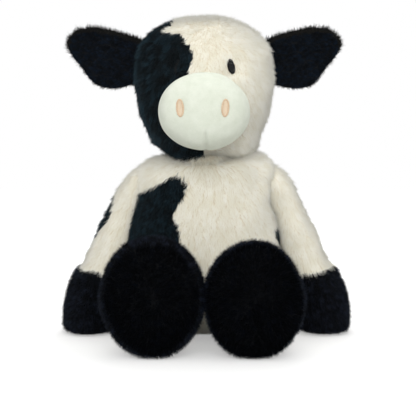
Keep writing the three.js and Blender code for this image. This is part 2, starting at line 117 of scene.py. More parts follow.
def spline(rows: Rows, count: int, radii: Sequence[int], poles: Ends) -> Array:
    """Runs a smooth curve through the rows of a table.

    Args:
        rows: the table.
        count: how many rows the curve is cut into.
        radii: the columns that are distances from the middle, which turn negative past a pole.
        poles: whether the first and the last row are round ends on the axis.

    Returns:
        The curve's rows, evenly spaced along it.
    """
    table = np.asarray(rows, float)
    turn = np.ones(table.shape[1])
    turn[list(radii)] = -1
    before = table[1] * turn if poles[0] else 2 * table[0] - table[1]
    after = table[-2] * turn if poles[1] else 2 * table[-1] - table[-2]
    full = np.vstack([before, table, after])
    gaps = np.maximum(np.linalg.norm(np.diff(full[:, :3], axis=0), axis=1), 1e-6)
    slopes = np.diff(full, axis=0) / gaps[:, None]
    near, far = gaps[:-1, None], gaps[1:, None]
    tangents = (slopes[:-1] * far + slopes[1:] * near) / (near + far)
    inner = gaps[1:-1]
    ends = np.concatenate([[0], np.cumsum(inner)])
    at = np.linspace(0, ends[-1], count)
    part = np.clip(np.searchsorted(ends, at, side="right") - 1, 0, len(inner) - 1)
    gap = inner[part][:, None]
    u = (at - ends[part])[:, None] / gap
    start, end = table[part], table[part + 1]
    leave, arrive = tangents[part] * gap, tangents[part + 1] * gap
    return (
        (2 * u**3 - 3 * u**2 + 1) * start
        + (u**3 - 2 * u**2 + u) * leave
        + (3 * u**2 - 2 * u**3) * end
        + (u**3 - u**2) * arrive
    )


def ripple(points: Array, wave: float, seed: int) -> Array:
    """A smooth unevenness from about -1 to 1 over points.

    Args:
        points: the places to find it at.
        wave: the length of one bump and hollow.
        seed: fixes the unevenness.

    Returns:
        One value for each point.
    """
    waves = 7
    rng = np.random.default_rng(seed)
    total = np.zeros(len(points))
    for _ in range(waves):
        way = unit(rng.normal(size=(1, 3)))[0]
        size = wave * rng.uniform(0.7, 1.5)
        total += np.sin(points @ way * (2 * math.pi / size) + rng.uniform(0, 2 * math.pi))
    return total / (waves / 2)


def smooth(start: float, end: float, at: Array) -> Array:
    """A smooth step from 0 at the start value to 1 at the end value."""
    u = np.clip((at - start) / (end - start), 0, 1)
    return u * u * (3 - 2 * u)


def bump(at: Array, middle: float | Array, width: float) -> Array:
    """A smooth bump, 1 at the middle value and almost gone two widths from it."""
    return np.exp(-(((at - middle) / width) ** 2))


def level_out(points: Array) -> Array:
    """The level direction away from the cow's upright axis at each point."""
    return unit(points * [1, 1, 0])


def within(outline: Array, across: Array, up: Array) -> Array:
    """Tells which points lie inside an outline.

    Args:
        outline: the outline's corners.
        across: the points' first coordinates.
        up: the points' second coordinates.

    Returns:
        True for each point inside.
    """
    inside = np.zeros(len(across), bool)
    for (x0, z0), (x1, z1) in zip(outline, np.roll(outline, -1, axis=0)):
        if z0 == z1:
            continue
        crosses = (z0 > up) != (z1 > up)
        inside ^= crosses & (across < (x1 - x0) * (up - z0) / (z1 - z0) + x0)
    return inside


# Surfaces


@dataclass
class Surface:
    """A skin of triangles, with the values that its pile takes at each point.

    Attributes:
        points: the places of its points.
        faces: three points for each triangle, outwards.
        normals: the outward direction at each point.
        cover: how thick the pile grows there, from 0 to 1.
        pile: the pile's length there, as a share of the coat's.
        comb: the direction that the pile is brushed in.
    """

    points: Array
    faces: Array
    normals: Array
    cover: Array
    pile: Array
    comb: Array

    @classmethod
    def lofted(cls, rings: Array, poles: Ends) -> "Surface":
        """Skins a stack of rings.

        Args:
            rings: places as (ring, corner, XYZ).
            poles: whether the first and the last ring are gathered into one point.

        Returns:
            The surface, with its faces outwards.
        """
        count, sides, _ = rings.shape
        index = np.arange(count * sides).reshape(count, sides)
        flat = rings.reshape(-1, 3).copy()
        for ring, gathered in ((0, poles[0]), (count - 1, poles[1])):
            if gathered:
                flat[index[ring, 0]] = rings[ring].mean(axis=0)
                index[ring] = index[ring, 0]
        a, b = index[:-1], np.roll(index, -1, axis=1)[:-1]
        d, c = index[1:], np.roll(index, -1, axis=1)[1:]
        faces = np.concatenate([np.stack([a, b, c], -1), np.stack([a, c, d], -1)]).reshape(-1, 3)
        sound = (faces[:, 0] != faces[:, 1]) & (faces[:, 1] != faces[:, 2])
        faces = faces[sound & (faces[:, 2] != faces[:, 0])]
        used, back = np.unique(faces, return_inverse=True)
        points, faces = flat[used], back.reshape(-1, 3)
        corners = points[faces] - points.mean(axis=0)
        volume = np.einsum("ij,ij->i", corners[:, 0], np.cross(corners[:, 1], corners[:, 2]))
        if volume.sum() < 0:
            faces = faces[:, ::-1]
        full = np.ones(len(points))
        made = cls(points, faces, np.zeros_like(points), full, full, np.zeros_like(points))
        made.normals = made.outward()
        return made

    def crosses(self) -> Array:
        """A vector outwards from each face, twice as long as the face is large."""
        corners = self.points[self.faces]
        return np.cross(corners[:, 1] - corners[:, 0], corners[:, 2] - corners[:, 0])

    def outward(self) -> Array:
        """Works out the outward direction at each point, from the faces round it.

        Returns:
            The directions.
        """
        across = self.crosses()
        total = np.zeros_like(self.points)
        for corner in range(3):
            np.add.at(total, self.faces[:, corner], across)
        return unit(total)

    def middles(self) -> Array:
        """The middle of each face."""
        return self.points[self.faces].mean(axis=1)

    def move(self, out: Array) -> None:
        """Moves each point outwards along its normal."""
        self.points = self.points + self.normals * out[:, None]

    def settle(self, ground: float, roundness: float) -> None:
        """Rests the surface on the ground.

        Args:
            ground: the height that every point is lifted to at least.
            roundness: how softly the flat part runs out.
        """
        above = (self.points[:, 2] - ground) / roundness
        self.points[:, 2] = ground + roundness * np.logaddexp(0, above)
        self.normals = self.outward()

    def brush(self, way: Array) -> None:
        """Brushes the pile along the surface.

        Args:
            way: one direction for all points, or one for each.
        """
        faintest = 0.45  # a shorter direction leaves the pile standing up
        ways = np.broadcast_to(np.asarray(way, float), self.points.shape)
        flat = ways - self.normals * np.sum(ways * self.normals, axis=1, keepdims=True)
        size = np.linalg.norm(flat, axis=1, keepdims=True)
        self.comb = flat / np.maximum(size, faintest)

    def panel(self, keep: Array) -> "Surface":
        """Cuts a panel out of the surface.

        Args:
            keep: True for each face that the panel keeps.

        Returns:
            The panel, with the values of the whole.
        """
        used, back = np.unique(self.faces[keep], return_inverse=True)
        values = (v[used] for v in (self.normals, self.cover, self.pile, self.comb))
        return Surface(self.points[used], back.reshape(-1, 3), *values)

    def shell(self, wall: float) -> tuple[Array, Array]:
        """Gives a panel the thickness of its cloth.

        Args:
            wall: the thickness, inwards.

        Returns:
            The closed shell's points and faces.
        """
        edges = np.concatenate([self.faces[:, pair] for pair in ([0, 1], [1, 2], [2, 0])])
        key = np.sort(edges, axis=1)
        _, first, count = np.unique(key, axis=0, return_index=True, return_counts=True)
        rim = edges[first[count == 1]]
        if not len(rim):
            return self.points, self.faces
        total = len(self.points)
        inner = self.points - self.normals * wall
        walls = np.concatenate(
            [
                np.stack([rim[:, 1], rim[:, 0], rim[:, 0] + total], -1),
                np.stack([rim[:, 1], rim[:, 0] + total, rim[:, 1] + total], -1),
            ]
        )
        faces = np.concatenate([self.faces, self.faces[:, ::-1] + total, walls])
        return np.concatenate([self.points, inner]), faces


def new_mesh(name: str, points: Array, faces: Array) -> Mesh:
    """Makes a smooth-shaded mesh in metres.

    Args:
        name: the mesh's name.
        points: the corners.
        faces: three points for each triangle.

    Returns:
        The mesh.
    """
    mesh = bpy.data.meshes.new(name)
    mesh.from_pydata((points * MM).tolist(), [], faces.tolist())
    mesh.shade_smooth()
    mesh.update()
    return mesh


def new_object(name: str, data: ID) -> Object:
    """Puts a mesh, a lamp or a camera into the scene.

    Args:
        name: the object's name.
        data: what it shows.

    Returns:
        The object, at the origin.
    """
    made = bpy.data.objects.new(name, data)
    bpy.context.scene.collection.objects.link(made)
    return made


def discard(spent: Object) -> None:
    """Removes an object's mesh, and the object with it."""
    bpy.data.meshes.remove(spent.data)


def only_finish(mesh: Mesh, finish: Material) -> None:
    """Leaves a mesh with one finish on all its faces.

    Args:
        mesh: the mesh.
        finish: the material.
    """
    mesh.materials.clear()
    mesh.materials.append(finish)
    mesh.polygons.foreach_set("material_index", np.zeros(len(mesh.polygons), np.int32))


# Node trees


class Nodes:
    """Adds nodes to a tree and joins them."""

    def __init__(self, tree: NodeTree) -> None:
        """Starts on the tree that the nodes go into."""
        self.tree = tree

    def add(
        self, kind: str, inputs: dict[str | int, Any] | None = None, output: str | int = 0,
        **settings: Any,
    ) -> Any:
        """Adds one node.

        Args:
            kind: the node's type.
            inputs: values or sockets for its inputs, by name, identifier or place.
            output: the output wanted, by name, identifier or place.
            settings: the node's own settings.

        Returns:
            The output socket that was asked for, or None where the node has none.
        """
        node = self.tree.nodes.new(kind)
        for name, value in settings.items():
            setattr(node, name, value)
        self.feed(node, inputs or {})
        return self.find(node.outputs, output) if len(node.outputs) else None

    def feed(self, node: Node, inputs: dict[str | int, Any]) -> None:
        """Sets a node's inputs, or joins sockets to them.

        Args:
            node: the node.
            inputs: values or sockets, by the input's name, identifier or place.
        """
        for key, value in inputs.items():
            socket = self.find(node.inputs, key)
            if isinstance(value, NodeSocket):
                self.tree.links.new(value, socket)
            else:
                socket.default_value = value

    @staticmethod
    def find(sockets: Any, key: str | int) -> NodeSocket:
        """The socket with a name, identifier or place."""
        named = [s for s in sockets if s.identifier == key] or [s for s in sockets if s.name == key]
        return sockets[key] if isinstance(key, int) else named[0]

    def value(self, what: str, *terms: Any, **settings: Any) -> Any:
        """A number worked out by a Math node from one to three terms."""
        return self.add("ShaderNodeMath", dict(enumerate(terms)), operation=what, **settings)

    def product(self, *terms: Any) -> Any:
        """Two or more numbers multiplied, from the first to the last."""
        return reduce(lambda total, term: self.value("MULTIPLY", total, term), terms)

    def vector(self, what: str, *terms: Any, output: str | int = 0) -> Any:
        """A vector worked out by a Vector Math node from its terms."""
        return self.add("ShaderNodeVectorMath", dict(enumerate(terms)), output, operation=what)

    def joined(self, x: Any = 0.0, y: Any = 0.0, z: Any = 0.0) -> Any:
        """A vector from three numbers."""
        return self.add("ShaderNodeCombineXYZ", {0: x, 1: y, 2: z})

    def split(self, vector: Any) -> tuple[Any, Any, Any]:
        """The three numbers of a vector."""
        return tuple(self.add("ShaderNodeSeparateXYZ", {0: vector}).node.outputs)

    def scaled(self, vector: Any, by: Any) -> Any:
        """A vector times a number."""
        return self.add("ShaderNodeVectorMath", {0: vector, "Scale": by}, operation="SCALE")

    def attribute(self, name: str, kind: str = "FLOAT") -> Any:
        """The value of a named attribute of the geometry."""
        return self.add("GeometryNodeInputNamedAttribute", {"Name": name}, data_type=kind)

    def stored(self, geometry: Any, name: str, value: Any, kind: str, domain: str) -> Any:
        """The geometry with a value stored as a named attribute."""
        inputs = {"Geometry": geometry, "Name": name, "Value": value}
        return self.add("GeometryNodeStoreNamedAttribute", inputs, data_type=kind, domain=domain)

    def without(self, geometry: Any, *names: str) -> Any:
        """The geometry without some named attributes."""
        kind = "GeometryNodeRemoveAttribute"
        return reduce(lambda left, n: self.add(kind, {"Geometry": left, "Name": n}), names, geometry)

    def chance(self, low: float, high: float, seed: int, of: Any = None) -> Any:
        """A random number.

        Args:
            low: the least.
            high: the most.
            seed: fixes the numbers.
            of: what has a number of its own, or None for each element.

        Returns:
            The number's socket.
        """
        inputs = {"Min_001": low, "Max_001": high, "Seed": seed}
        if of is not None:
            inputs["ID"] = of
        return self.add("FunctionNodeRandomValue", inputs, "Value_001", data_type="FLOAT")


@dataclass
class Recipe:
    """A Geometry Nodes tree with named inputs, run on one mesh at a time.

    Attributes:
        name: the tree's name.
        inputs: the names of its inputs, by their kind of socket.
        tree: the finished tree.
    """

    name: str
    inputs: dict[str, Sequence[str]]
    tree: NodeTree = field(init=False, default=None)

    def begin(self) -> tuple[Nodes, dict[str, Any]]:
        """Makes the empty tree.

        Returns:
            The tree's nodes, and its inputs' sockets by name.
        """
        self.tree = bpy.data.node_groups.new(self.name, "GeometryNodeTree")
        face = self.tree.interface
        face.new_socket("Geometry", in_out="INPUT", socket_type="NodeSocketGeometry")
        for kind, names in self.inputs.items():
            for name in names:
                face.new_socket(name, in_out="INPUT", socket_type=f"NodeSocket{kind}")
        face.new_socket("Geometry", in_out="OUTPUT", socket_type="NodeSocketGeometry")
        entry = self.tree.nodes.new("NodeGroupInput")
        return Nodes(self.tree), {s.name: s for s in entry.outputs if s.name}

    def finish(self, result: Any) -> None:
        """Joins the last geometry to the tree's output."""
        leave = self.tree.nodes.new("NodeGroupOutput")
        self.tree.links.new(result, leave.inputs[0])

    def run(self, source: Object, name: str, values: dict[str, Any]) -> Mesh:
        """Runs the tree on an object, which is used up.

        Args:
            source: the object.
            name: the result's name.
            values: a value for each named input.

        Returns:
            The plain mesh.
        """
        maker = source.modifiers.new(self.name, "NODES")
        maker.node_group = self.tree
        sockets = self.tree.interface.items_tree
        known = {i.name: i.identifier for i in sockets if i.in_out == "INPUT"}
        for key, value in values.items():
            maker[known[key]] = value
        source.update_tag()
        bpy.context.view_layer.update()
        graph = bpy.context.evaluated_depsgraph_get()
        mesh = bpy.data.meshes.new_from_object(
            source.evaluated_get(graph), preserve_all_data_layers=True, depsgraph=graph
        )
        mesh.name = name
        discard(source)
        return mesh


# Finishes


@dataclass(frozen=True)
class Finish:
    """How a surface looks.

    Attributes:
        name: the material's name.
    """

    name: str

    def material(self) -> Material:
        """Makes the finish's material, once.

        Returns:
            The material.
        """
        if self.name in bpy.data.materials:
            return bpy.data.materials[self.name]
        made, nodes, shader = new_material(self.name)
        nodes.feed(shader, self.inputs(nodes))
        return made

    def inputs(self, nodes: Nodes) -> dict[str, Any]:
        """What goes into the shader, by the input's name."""
        raise NotImplementedError


@dataclass(frozen=True)
class Fur(Finish):
    """The finish of strands: colours at the root and at the tip, from dark to light.

    Attributes:
        root: the darkest and the lightest colour at the root, darker than the tip's as
            painted shade down among the strands.
        tip: the darkest and the lightest colour at the tip; in black pile its light end is
            partly painted highlight, strands catching the light, and partly the pile's own tint.
        roughness: how dull the strands are.
        sheen: the soft light at their edges.
        specular: how much they shine.
        shades: whether the strands shade each other; pale ones let the light through.
        even: the share of the strands that keep the darkest colour.
        glow: the colour of the soft light at their edges.
    """

    root: tuple[str, str]
    tip: tuple[str, str]
    roughness: float = 0.8
    sheen: float = 0.0
    specular: float = 0.3
    shades: bool = True
    even: float = 0.0
    glow: str = "ffffff"

    def inputs(self, nodes: Nodes) -> dict[str, Any]:
        """Mixes the strands' colours.

        Args:
            nodes: the material's nodes.

        Returns:
            What goes into the shader, by the input's name.
        """
        tone, along = (
            nodes.add("ShaderNodeAttribute", {}, "Fac", attribute_name=name)
            for name in ("tone", "along")
        )
        # the darker roots are painted shade among the strands; in black pile the light tips are
        # partly painted highlight
        low, high = (ramp(nodes, tone, *pair, self.even) for pair in (self.root, self.tip))
        colour = nodes.add(
            "ShaderNodeMix", {"Factor_Float": along, "A_Color": low, "B_Color": high},
            "Result_Color", data_type="RGBA",
        )
        return {
            "Base Color": colour, "Roughness": self.roughness, "Sheen Weight": self.sheen,
            "Sheen Tint": linear(self.glow), "Specular IOR Level": self.specular,
        }


@dataclass(frozen=True)
class Cloth(Finish):
    """The finish of a cloth: two colours in soft patches, with a knit or a pile of its own.

    Attributes:
        dark: the darker colour.
        light: the lighter colour.
        patch: the size of a patch of colour.
        grain: the size of the pile's grain.
        depth: how deep the grain looks.
        roughness: the least and the most dullness.
        sheen: the soft light at the edges.
        specular: how much it shines.
    """

    dark: str
    light: str
    patch: float = 9.0
    grain: float = 0.7
    depth: float = 0.3
    roughness: tuple[float, float] = (0.8, 0.95)
    sheen: float = 0.2
    specular: float = 0.2

    def inputs(self, nodes: Nodes) -> dict[str, Any]:
        """Makes the patches of colour and the grain.

        Args:
            nodes: the material's nodes.

        Returns:
            What goes into the shader, by the input's name.
        """
        fine_share, broad_share = 0.45, 0.6  # how far grain and patches change the colour
        place = nodes.add("ShaderNodeTexCoord", {}, "Object")
        broad, fine = (
            nodes.add(
                "ShaderNodeTexNoise",
                {"Vector": place, "Scale": 1 / (size * MM), "Detail": detail, "Roughness": uneven},
                "Fac",
            )
            for size, detail, uneven in ((self.patch, 4.0, 0.6), (self.grain, 2.0, 0.5))
        )
        broad = nodes.value("MULTIPLY", broad, broad_share)
        both = nodes.value("MULTIPLY_ADD", fine, fine_share, broad)
        least, most = self.roughness
        return {
            "Base Color": ramp(nodes, both, self.dark, self.light, 0.3, 0.75),
            "Roughness": nodes.add(
                "ShaderNodeMapRange", {"Value": fine, "To Min": least, "To Max": most}
            ),
            "Normal": nodes.add(
                "ShaderNodeBump", {"Strength": 0.6, "Distance": self.depth * MM, "Height": fine}
            ),
            "Sheen Weight": self.sheen, "Sheen Roughness": 0.5,
            "Specular IOR Level": self.specular,
        }


def new_material(name: str) -> tuple[Material, Nodes, ShaderNode]:
    """Starts a material.

    Args:
        name: the material's name.

    Returns:
        The material, its nodes and its shader.
    """
    made = bpy.data.materials.new(name)
    made.use_nodes = True
    return made, Nodes(made.node_tree), made.node_tree.nodes["Principled BSDF"]


def ramp(
    nodes: Nodes, factor: Any, dark: str, light: str, start: float = 0.0, end: float = 1.0
) -> Any:
    """A colour between two, by a factor.

    Args:
        nodes: the material's nodes.
        factor: the factor's socket.
        dark: the colour at the start.
        light: the colour at the end.
        start: the factor at which the first colour ends.
        end: the factor at which the second colour begins.

    Returns:
        The colour's socket.
    """
    colour = nodes.add("ShaderNodeValToRGB", {"Fac": factor}, "Color")
    stops = colour.node.color_ramp.elements
    stops[0].position, stops[0].color = start, linear(dark)
    stops[1].position, stops[1].color = end, linear(light)
    return colour


COOL, BLUE = "8fc4dc", "7f9cc8"  # the soft light at the edges of black pile
# Root colours darker than the tips are painted shade among the strands; the lightest tip colours of
# the black piles are partly painted highlight and partly the pile's own tint.
CREAM = Fur(
    "cream_strands", ("e3dcc5", "f7f4e6"), ("f6f4e7", "fefdf6"), 0.85, 0.1, 0.2, shades=False
)
BLACK = Fur(
    "black_strands", ("020304", "05090b"), ("030607", "2e4754"),
    roughness=0.55, sheen=0.1, specular=0.12, even=0.3, glow=COOL,
)
INKY = Fur(
    "hoof_strands", ("010102", "020304"), ("010204", "353d50"),
    roughness=0.6, sheen=0.06, specular=0.09, even=0.5, glow=BLUE,
)
SOLE = Fur(
    "sole_strands", ("010102", "020304"), ("010203", "10151f"),
    roughness=0.65, sheen=0.02, specular=0.03, even=0.5, glow=BLUE,
)
LINING = Fur(
    "ear_lining_strands", ("010204", "03060a"), ("02050a", "1d2e42"),
    roughness=0.6, sheen=0.03, specular=0.09, even=0.3, glow=BLUE,
)
RIM = Fur("ear_rim_strands", ("040403", "090907"), ("0b0a08", "211f1b"), 0.6, 0.02, 0.16)
CREAM_BACKING = Cloth("cream_fur_backing", "d6cab3", "e6ddca", sheen=0.1)
BLACK_BACKING = Cloth("black_fur_backing", "050709", "0b0f12", sheen=0.05)
HOOF_BACKING = Cloth("hoof_fur_backing", "040507", "090b0e", sheen=0.05)
EAR_BACKING = Cloth("ear_velour_backing", "06080b", "0c1014", sheen=0.05)
MUZZLE_VELOUR = Cloth("muzzle_pile", "d0d6c5", "e4e8db", 10.0, 0.6, 0.34, (0.85, 0.97), 0.12)
SATIN = (3.0, 0.25, 0.06)  # patch, grain and depth of embroidery thread
NOSTRIL_THREAD = Cloth("nostril_satin", "d9c6ab", "e8d8c1", *SATIN, (0.5, 0.7), 0.1)
NOSTRIL_OUTLINE = Cloth("nostril_outline", "cfb294", "dec6a9", *SATIN, (0.5, 0.7))
EYE_THREAD = Cloth("eye_satin", "0d0e0f", "1d1e1e", *SATIN, (0.35, 0.5), 0.0, 0.17)
EYE_OUTLINE = Cloth("eye_outline", "08090a", "0f1011", *SATIN, (0.6, 0.8), 0.0, 0.05)


@dataclass(frozen=True)
class Plush:
    """A cloth with its pile.

    Attributes:
        slot: the record's material; not used.
        backing: the cloth's finish.
        strands: the pile's finish.
    """

    slot: Slot
    backing: Cloth
    strands: Fur


CREAM_PLUSH = Plush(Slot.CREAM_FUR, CREAM_BACKING, CREAM)
BLACK_PLUSH = Plush(Slot.BLACK_FUR, BLACK_BACKING, BLACK)
RIM_PLUSH = Plush(Slot.BLACK_FUR, BLACK_BACKING, RIM)
LINING_PLUSH = Plush(Slot.EAR, EAR_BACKING, LINING)
HOOF_PLUSH = Plush(Slot.HOOF, HOOF_BACKING, INKY)
SOLE_PLUSH = Plush(Slot.HOOF, HOOF_BACKING, SOLE)


# Fur


@dataclass(frozen=True)
class Coat:
    """How a pile grows on its cloth.

    Attributes:
        length: a strand's length.
        width: a strand's width at its root.
        density: strands to a square millimetre.
        lean: how far the strands lie along the comb, from 0 to 1.
        tufts: tufts to a square millimetre.
        pull: how far a strand's tip is drawn to its tuft, for each millimetre between them.
        stray: how far single strands stray.
        swirl: how far the comb wanders from place to place.
        softness: how far light falls on the strands as on the cloth under them.
        seed: fixes all that is random.
    """

    length: float = 8.5
    width: float = 0.5
    density: float = 1.5
    lean: float = 0.62
    tufts: float = 0.026
    pull: float = 0.36
    stray: float = 0.2
    swirl: float = 0.55
    softness: float = 0.72
    seed: int = 7


class Furrier:
    """Grows fur on surfaces with one strand and one recipe."""

    tones = 32  # shades of a piece's strands in its map
    tip = 3  # the strand's corner at its point

    def __init__(self) -> None:
        """Makes the strand and the recipe."""
        self.strand = self.make_strand()
        shape = ("Density", "Length", "Width", "Lean", "Tufts", "Pull", "Stray", "Swirl")
        self.recipe = Recipe(
            "fur_pile",
            {
                "Object": ("Strand",), "Float": (*shape, "Ground", "Softness"), "Int": ("Seed",),
                "Material": ("Fur",),
            },
        )
        self.make_recipe()

    def make_strand(self) -> Object:
        """Makes one strand, a closed three-sided point of width and length 1.

        Returns:
            The strand's object, with how far along and across it each corner lies.
        """
        turns = [math.radians(a) for a in (90, 210, 330)]
        ring = [(0.5 * math.cos(t), 0.5 * math.sin(t), 0.0) for t in turns]
        mesh = bpy.data.meshes.new("strand")
        sides = [(0, 1, self.tip), (1, 2, self.tip), (2, 0, self.tip), (2, 1, 0)]
        mesh.from_pydata(ring + [(0, 0, 1)], [], sides)
        mesh.shade_smooth()
        along = mesh.attributes.new("along", "FLOAT", "POINT")
        along.data.foreach_set("value", [0.0, 0.0, 0.0, 1.0])
        across = mesh.attributes.new("across", "FLOAT2", "CORNER")
        foot, point = ((0.05, 0.02), (0.95, 0.1), (0.5, 0.06)), (0.5, 0.96)
        spots = [
            point if vertex == self.tip else foot[corner]
            for face in mesh.polygons
            for corner, vertex in enumerate(face.vertices)
        ]
        across.data.foreach_set("vector", [n for spot in spots for n in spot])
        return new_object("strand", mesh)

    def make_recipe(self) -> None:
        """Builds the tree that scatters, combs and gathers the strands."""
        n, into = self.recipe.begin()
        place = n.add("GeometryNodeInputPosition")
        thick = n.product(n.attribute("cover"), into["Density"])
        tuft_seed = n.value("ADD", into["Seed"], 31)
        roots, middles = (
            n.add(
                "GeometryNodeDistributePointsOnFaces",
                {"Mesh": into["Geometry"], "Density": density, "Seed": seed}, "Points",
                distribute_method="RANDOM",
            )
            for density, seed in ((thick, into["Seed"]), (into["Tufts"], tuft_seed))
        )
        normal = roots.node.outputs["Normal"]
        nearest = {"Geometry": middles, "Sample Position": place}
        tuft = n.add("GeometryNodeSampleNearest", nearest, domain="POINT")
        middle = n.add(
            "GeometryNodeSampleIndex", {"Geometry": middles, "Value": place, "Index": tuft},
            data_type="FLOAT_VECTOR", domain="POINT",
        )
        way = self.make_way(n, into, normal, n.vector("SUBTRACT", middle, place))
        uneven = n.chance(0.65, 1.12, 11)
        reach = n.product(n.product(into["Length"], n.attribute("pile")), uneven)
        grown = n.add(
            "GeometryNodeInstanceOnPoints",
            {
                "Points": roots,
                "Instance": n.add("GeometryNodeObjectInfo", {"Object": into["Strand"]}, "Geometry"),
                "Rotation": n.add("FunctionNodeAlignRotationToVector", {"Vector": way}, axis="Z"),
                "Scale": n.joined(into["Width"], into["Width"], reach),
            },
        )
        own, shared = n.chance(0.0, 1.0, 17), n.chance(0.0, 0.55, 23, of=tuft)
        tone = n.value("ADD", n.value("MULTIPLY_ADD", own, 0.45, shared), 0.0, use_clamp=True)
        grown = n.stored(grown, "tone", tone, "FLOAT", "INSTANCE")
        grown = n.stored(grown, "facing", normal, "FLOAT_VECTOR", "INSTANCE")
        grown = n.without(grown, "cover", "pile", "comb")
        whole = n.add("GeometryNodeRealizeInstances", {"Geometry": grown})
        x, y, z = n.split(place)
        lifted = n.joined(x, y, n.value("MAXIMUM", z, into["Ground"]))
        whole = n.add("GeometryNodeSetPosition", {"Geometry": whole, "Position": lifted})
        self.recipe.finish(self.make_finish(n, into, whole))

    @staticmethod
    def make_way(n: Nodes, into: dict[str, Any], normal: Any, drawn: Any) -> Any:
        """Works out which way each strand points.

        Args:
            n: the tree's nodes.
            into: the tree's inputs.
            normal: the cloth's outward direction.
            drawn: the way to the middle of the strand's tuft.

        Returns:
            The direction's socket.
        """
        least_rise, wander_scale = 0.18, 38.0
        wander = n.add(
            "ShaderNodeTexNoise",
            {"Vector": n.add("GeometryNodeInputPosition"), "Scale": wander_scale, "Detail": 1.0},
            "Color", noise_dimensions="3D",
        )
        stray = n.add(
            "FunctionNodeRandomValue",
            {"Min": (-1.0, -1.0, -1.0), "Max": (1.0, 1.0, 1.0), "Seed": 5}, "Value",
            data_type="FLOAT_VECTOR",
        )
        upright = n.scaled(normal, n.value("SUBTRACT", 1.0, into["Lean"]))
        brushed = n.scaled(n.attribute("comb", "FLOAT_VECTOR"), into["Lean"])
        swirl = n.scaled(n.vector("SUBTRACT", wander, (0.5, 0.5, 0.5)), into["Swirl"])
        drawn = n.scaled(drawn, n.value("DIVIDE", into["Pull"], into["Length"]))
        way = n.vector("ADD", n.vector("ADD", upright, brushed), n.vector("ADD", swirl, drawn))
        way = n.vector("NORMALIZE", n.vector("ADD", way, n.scaled(stray, into["Stray"])))
        rise = n.vector("DOT_PRODUCT", way, normal, output="Value")
        flat = n.vector("SUBTRACT", way, n.scaled(normal, rise))
        return n.vector("ADD", flat, n.scaled(normal, n.value("MAXIMUM", rise, least_rise)))

    def make_finish(self, n: Nodes, into: dict[str, Any], whole: Any) -> Any:
        """Gives the strands their map, their soft shading and their finish.

        Args:
            n: the tree's nodes.
            into: the tree's inputs.
            whole: the strands.

        Returns:
            The finished strands' socket.
        """
        shade = n.value("MULTIPLY", n.attribute("tone"), self.tones - 0.1)
        strip = n.value("DIVIDE", n.value("FLOOR", shade), float(self.tones))
        across, along, _ = n.split(n.attribute("across", "FLOAT_VECTOR"))
        spot = n.joined(n.value("MULTIPLY_ADD", across, 1 / self.tones, strip), along)
        mapped = n.stored(whole, "OFBake", spot, "FLOAT2", "CORNER")
        own = n.add("GeometryNodeInputNormal", {}, "Normal")
        soft = n.vector(
            "ADD", n.scaled(n.attribute("facing", "FLOAT_VECTOR"), into["Softness"]),
            n.scaled(own, n.value("SUBTRACT", 1.0, into["Softness"])),
        )
        lit = n.add(
            "GeometryNodeSetMeshNormal",
            {"Mesh": mapped, "Custom Normal": n.vector("NORMALIZE", soft)}, mode="FREE",
            domain="POINT",
        )
        lit = n.without(lit, "across", "facing")
        return n.add("GeometryNodeSetMaterial", {"Geometry": lit, "Material": into["Fur"]})

    def grow(self, panel: "Panel") -> list[Object]:
        """Grows the fur of a panel, in as many pieces as its strands need.

        Args:
            panel: the cloth, and how its pile grows.

        Returns:
            The pieces of fur, at the origin.
        """
        name, surface, coat = f"{panel.name}_fur", panel.surface, panel.coat
        areas = np.linalg.norm(surface.crosses(), axis=1) / 2
        areas = areas * surface.cover[surface.faces].mean(axis=1)
        total = areas.sum() * coat.density
        count = max(1, math.ceil(total / MOST_STRANDS))
        middles = surface.middles()
        centre = middles.mean(axis=0)
        round_about = np.arctan2(middles[:, 0] - centre[0], centre[1] - middles[:, 1])
        order = np.argsort(round_about, kind="stable")
        share = np.empty(len(areas))
        share[order] = np.cumsum(areas[order]) / max(areas.sum(), 1e-9)
        made = []
        for part in range(count):
            keep = (share > part / count - (part == 0)) & (share <= (part + 1) / count)
            title = name if count == 1 else f"{name}_{part + 1}"
            made.append(self.grow_part(title, surface.panel(keep), panel, part))
        return made

    def grow_part(self, name: str, surface: Surface, panel: "Panel", part: int) -> Object:
        """Grows one piece of fur.

        Args:
            name: the piece's name.
            surface: its share of the cloth.
            panel: the whole cloth, and how its pile grows.
            part: which of the panel's pieces it is.

        Returns:
            The piece's object.
        """
        coat, finish = panel.coat, panel.plush.strands
        cloth = f"{name}_cloth"
        source = new_object(cloth, new_mesh(cloth, surface.points, surface.faces))
        for key in ("cover", "pile"):
            values = source.data.attributes.new(key, "FLOAT", "POINT")
            values.data.foreach_set("value", getattr(surface, key).astype(np.float32))
        comb = source.data.attributes.new("comb", "FLOAT_VECTOR", "POINT")
        comb.data.foreach_set("vector", surface.comb.astype(np.float32).ravel())
        values = {
            "Strand": self.strand, "Density": coat.density / MM**2, "Length": coat.length * MM,
            "Width": coat.width * MM, "Tufts": coat.tufts / MM**2, "Seed": coat.seed + part,
            "Ground": panel.ground * MM, "Fur": finish.material(),
        }
        for key in ("Lean", "Pull", "Stray", "Swirl", "Softness"):
            values[key] = getattr(coat, key.lower())
        mesh = self.recipe.run(source, name, values)
        only_finish(mesh, finish.material())
        LOG.info("%s: %d faces", name, len(mesh.polygons))
        made = new_object(name, mesh)
        made.visible_shadow = finish.shades
        return made

    def close(self) -> None:
        """Puts the strand away once all the fur is grown."""
        discard(self.strand)


@dataclass
class Rigid:
    """A piece goes with one body.

    Attributes:
        body: the body's name.
    """

    body: str

    def attach(self, piece: Object) -> None:
        """Lets the piece ride on the body."""
        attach(piece, self.body)


@dataclass
class Sewn:
    """A piece sewn to one body that would swing with another; here its place is only baked into its
    mesh.

    Attributes:
        fixed: the body that holds it; not used.
        swinging: the body that it follows; not used.
        start: where it starts to follow; not used.
        end: where it follows in full; not used.
    """

    fixed: str
    swinging: str
    start: Array
    end: Array

    def attach(self, piece: Object) -> None:
        """Bakes the piece's place into its mesh, without tying it to either body."""
        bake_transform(piece)


Attachment = Rigid | Sewn


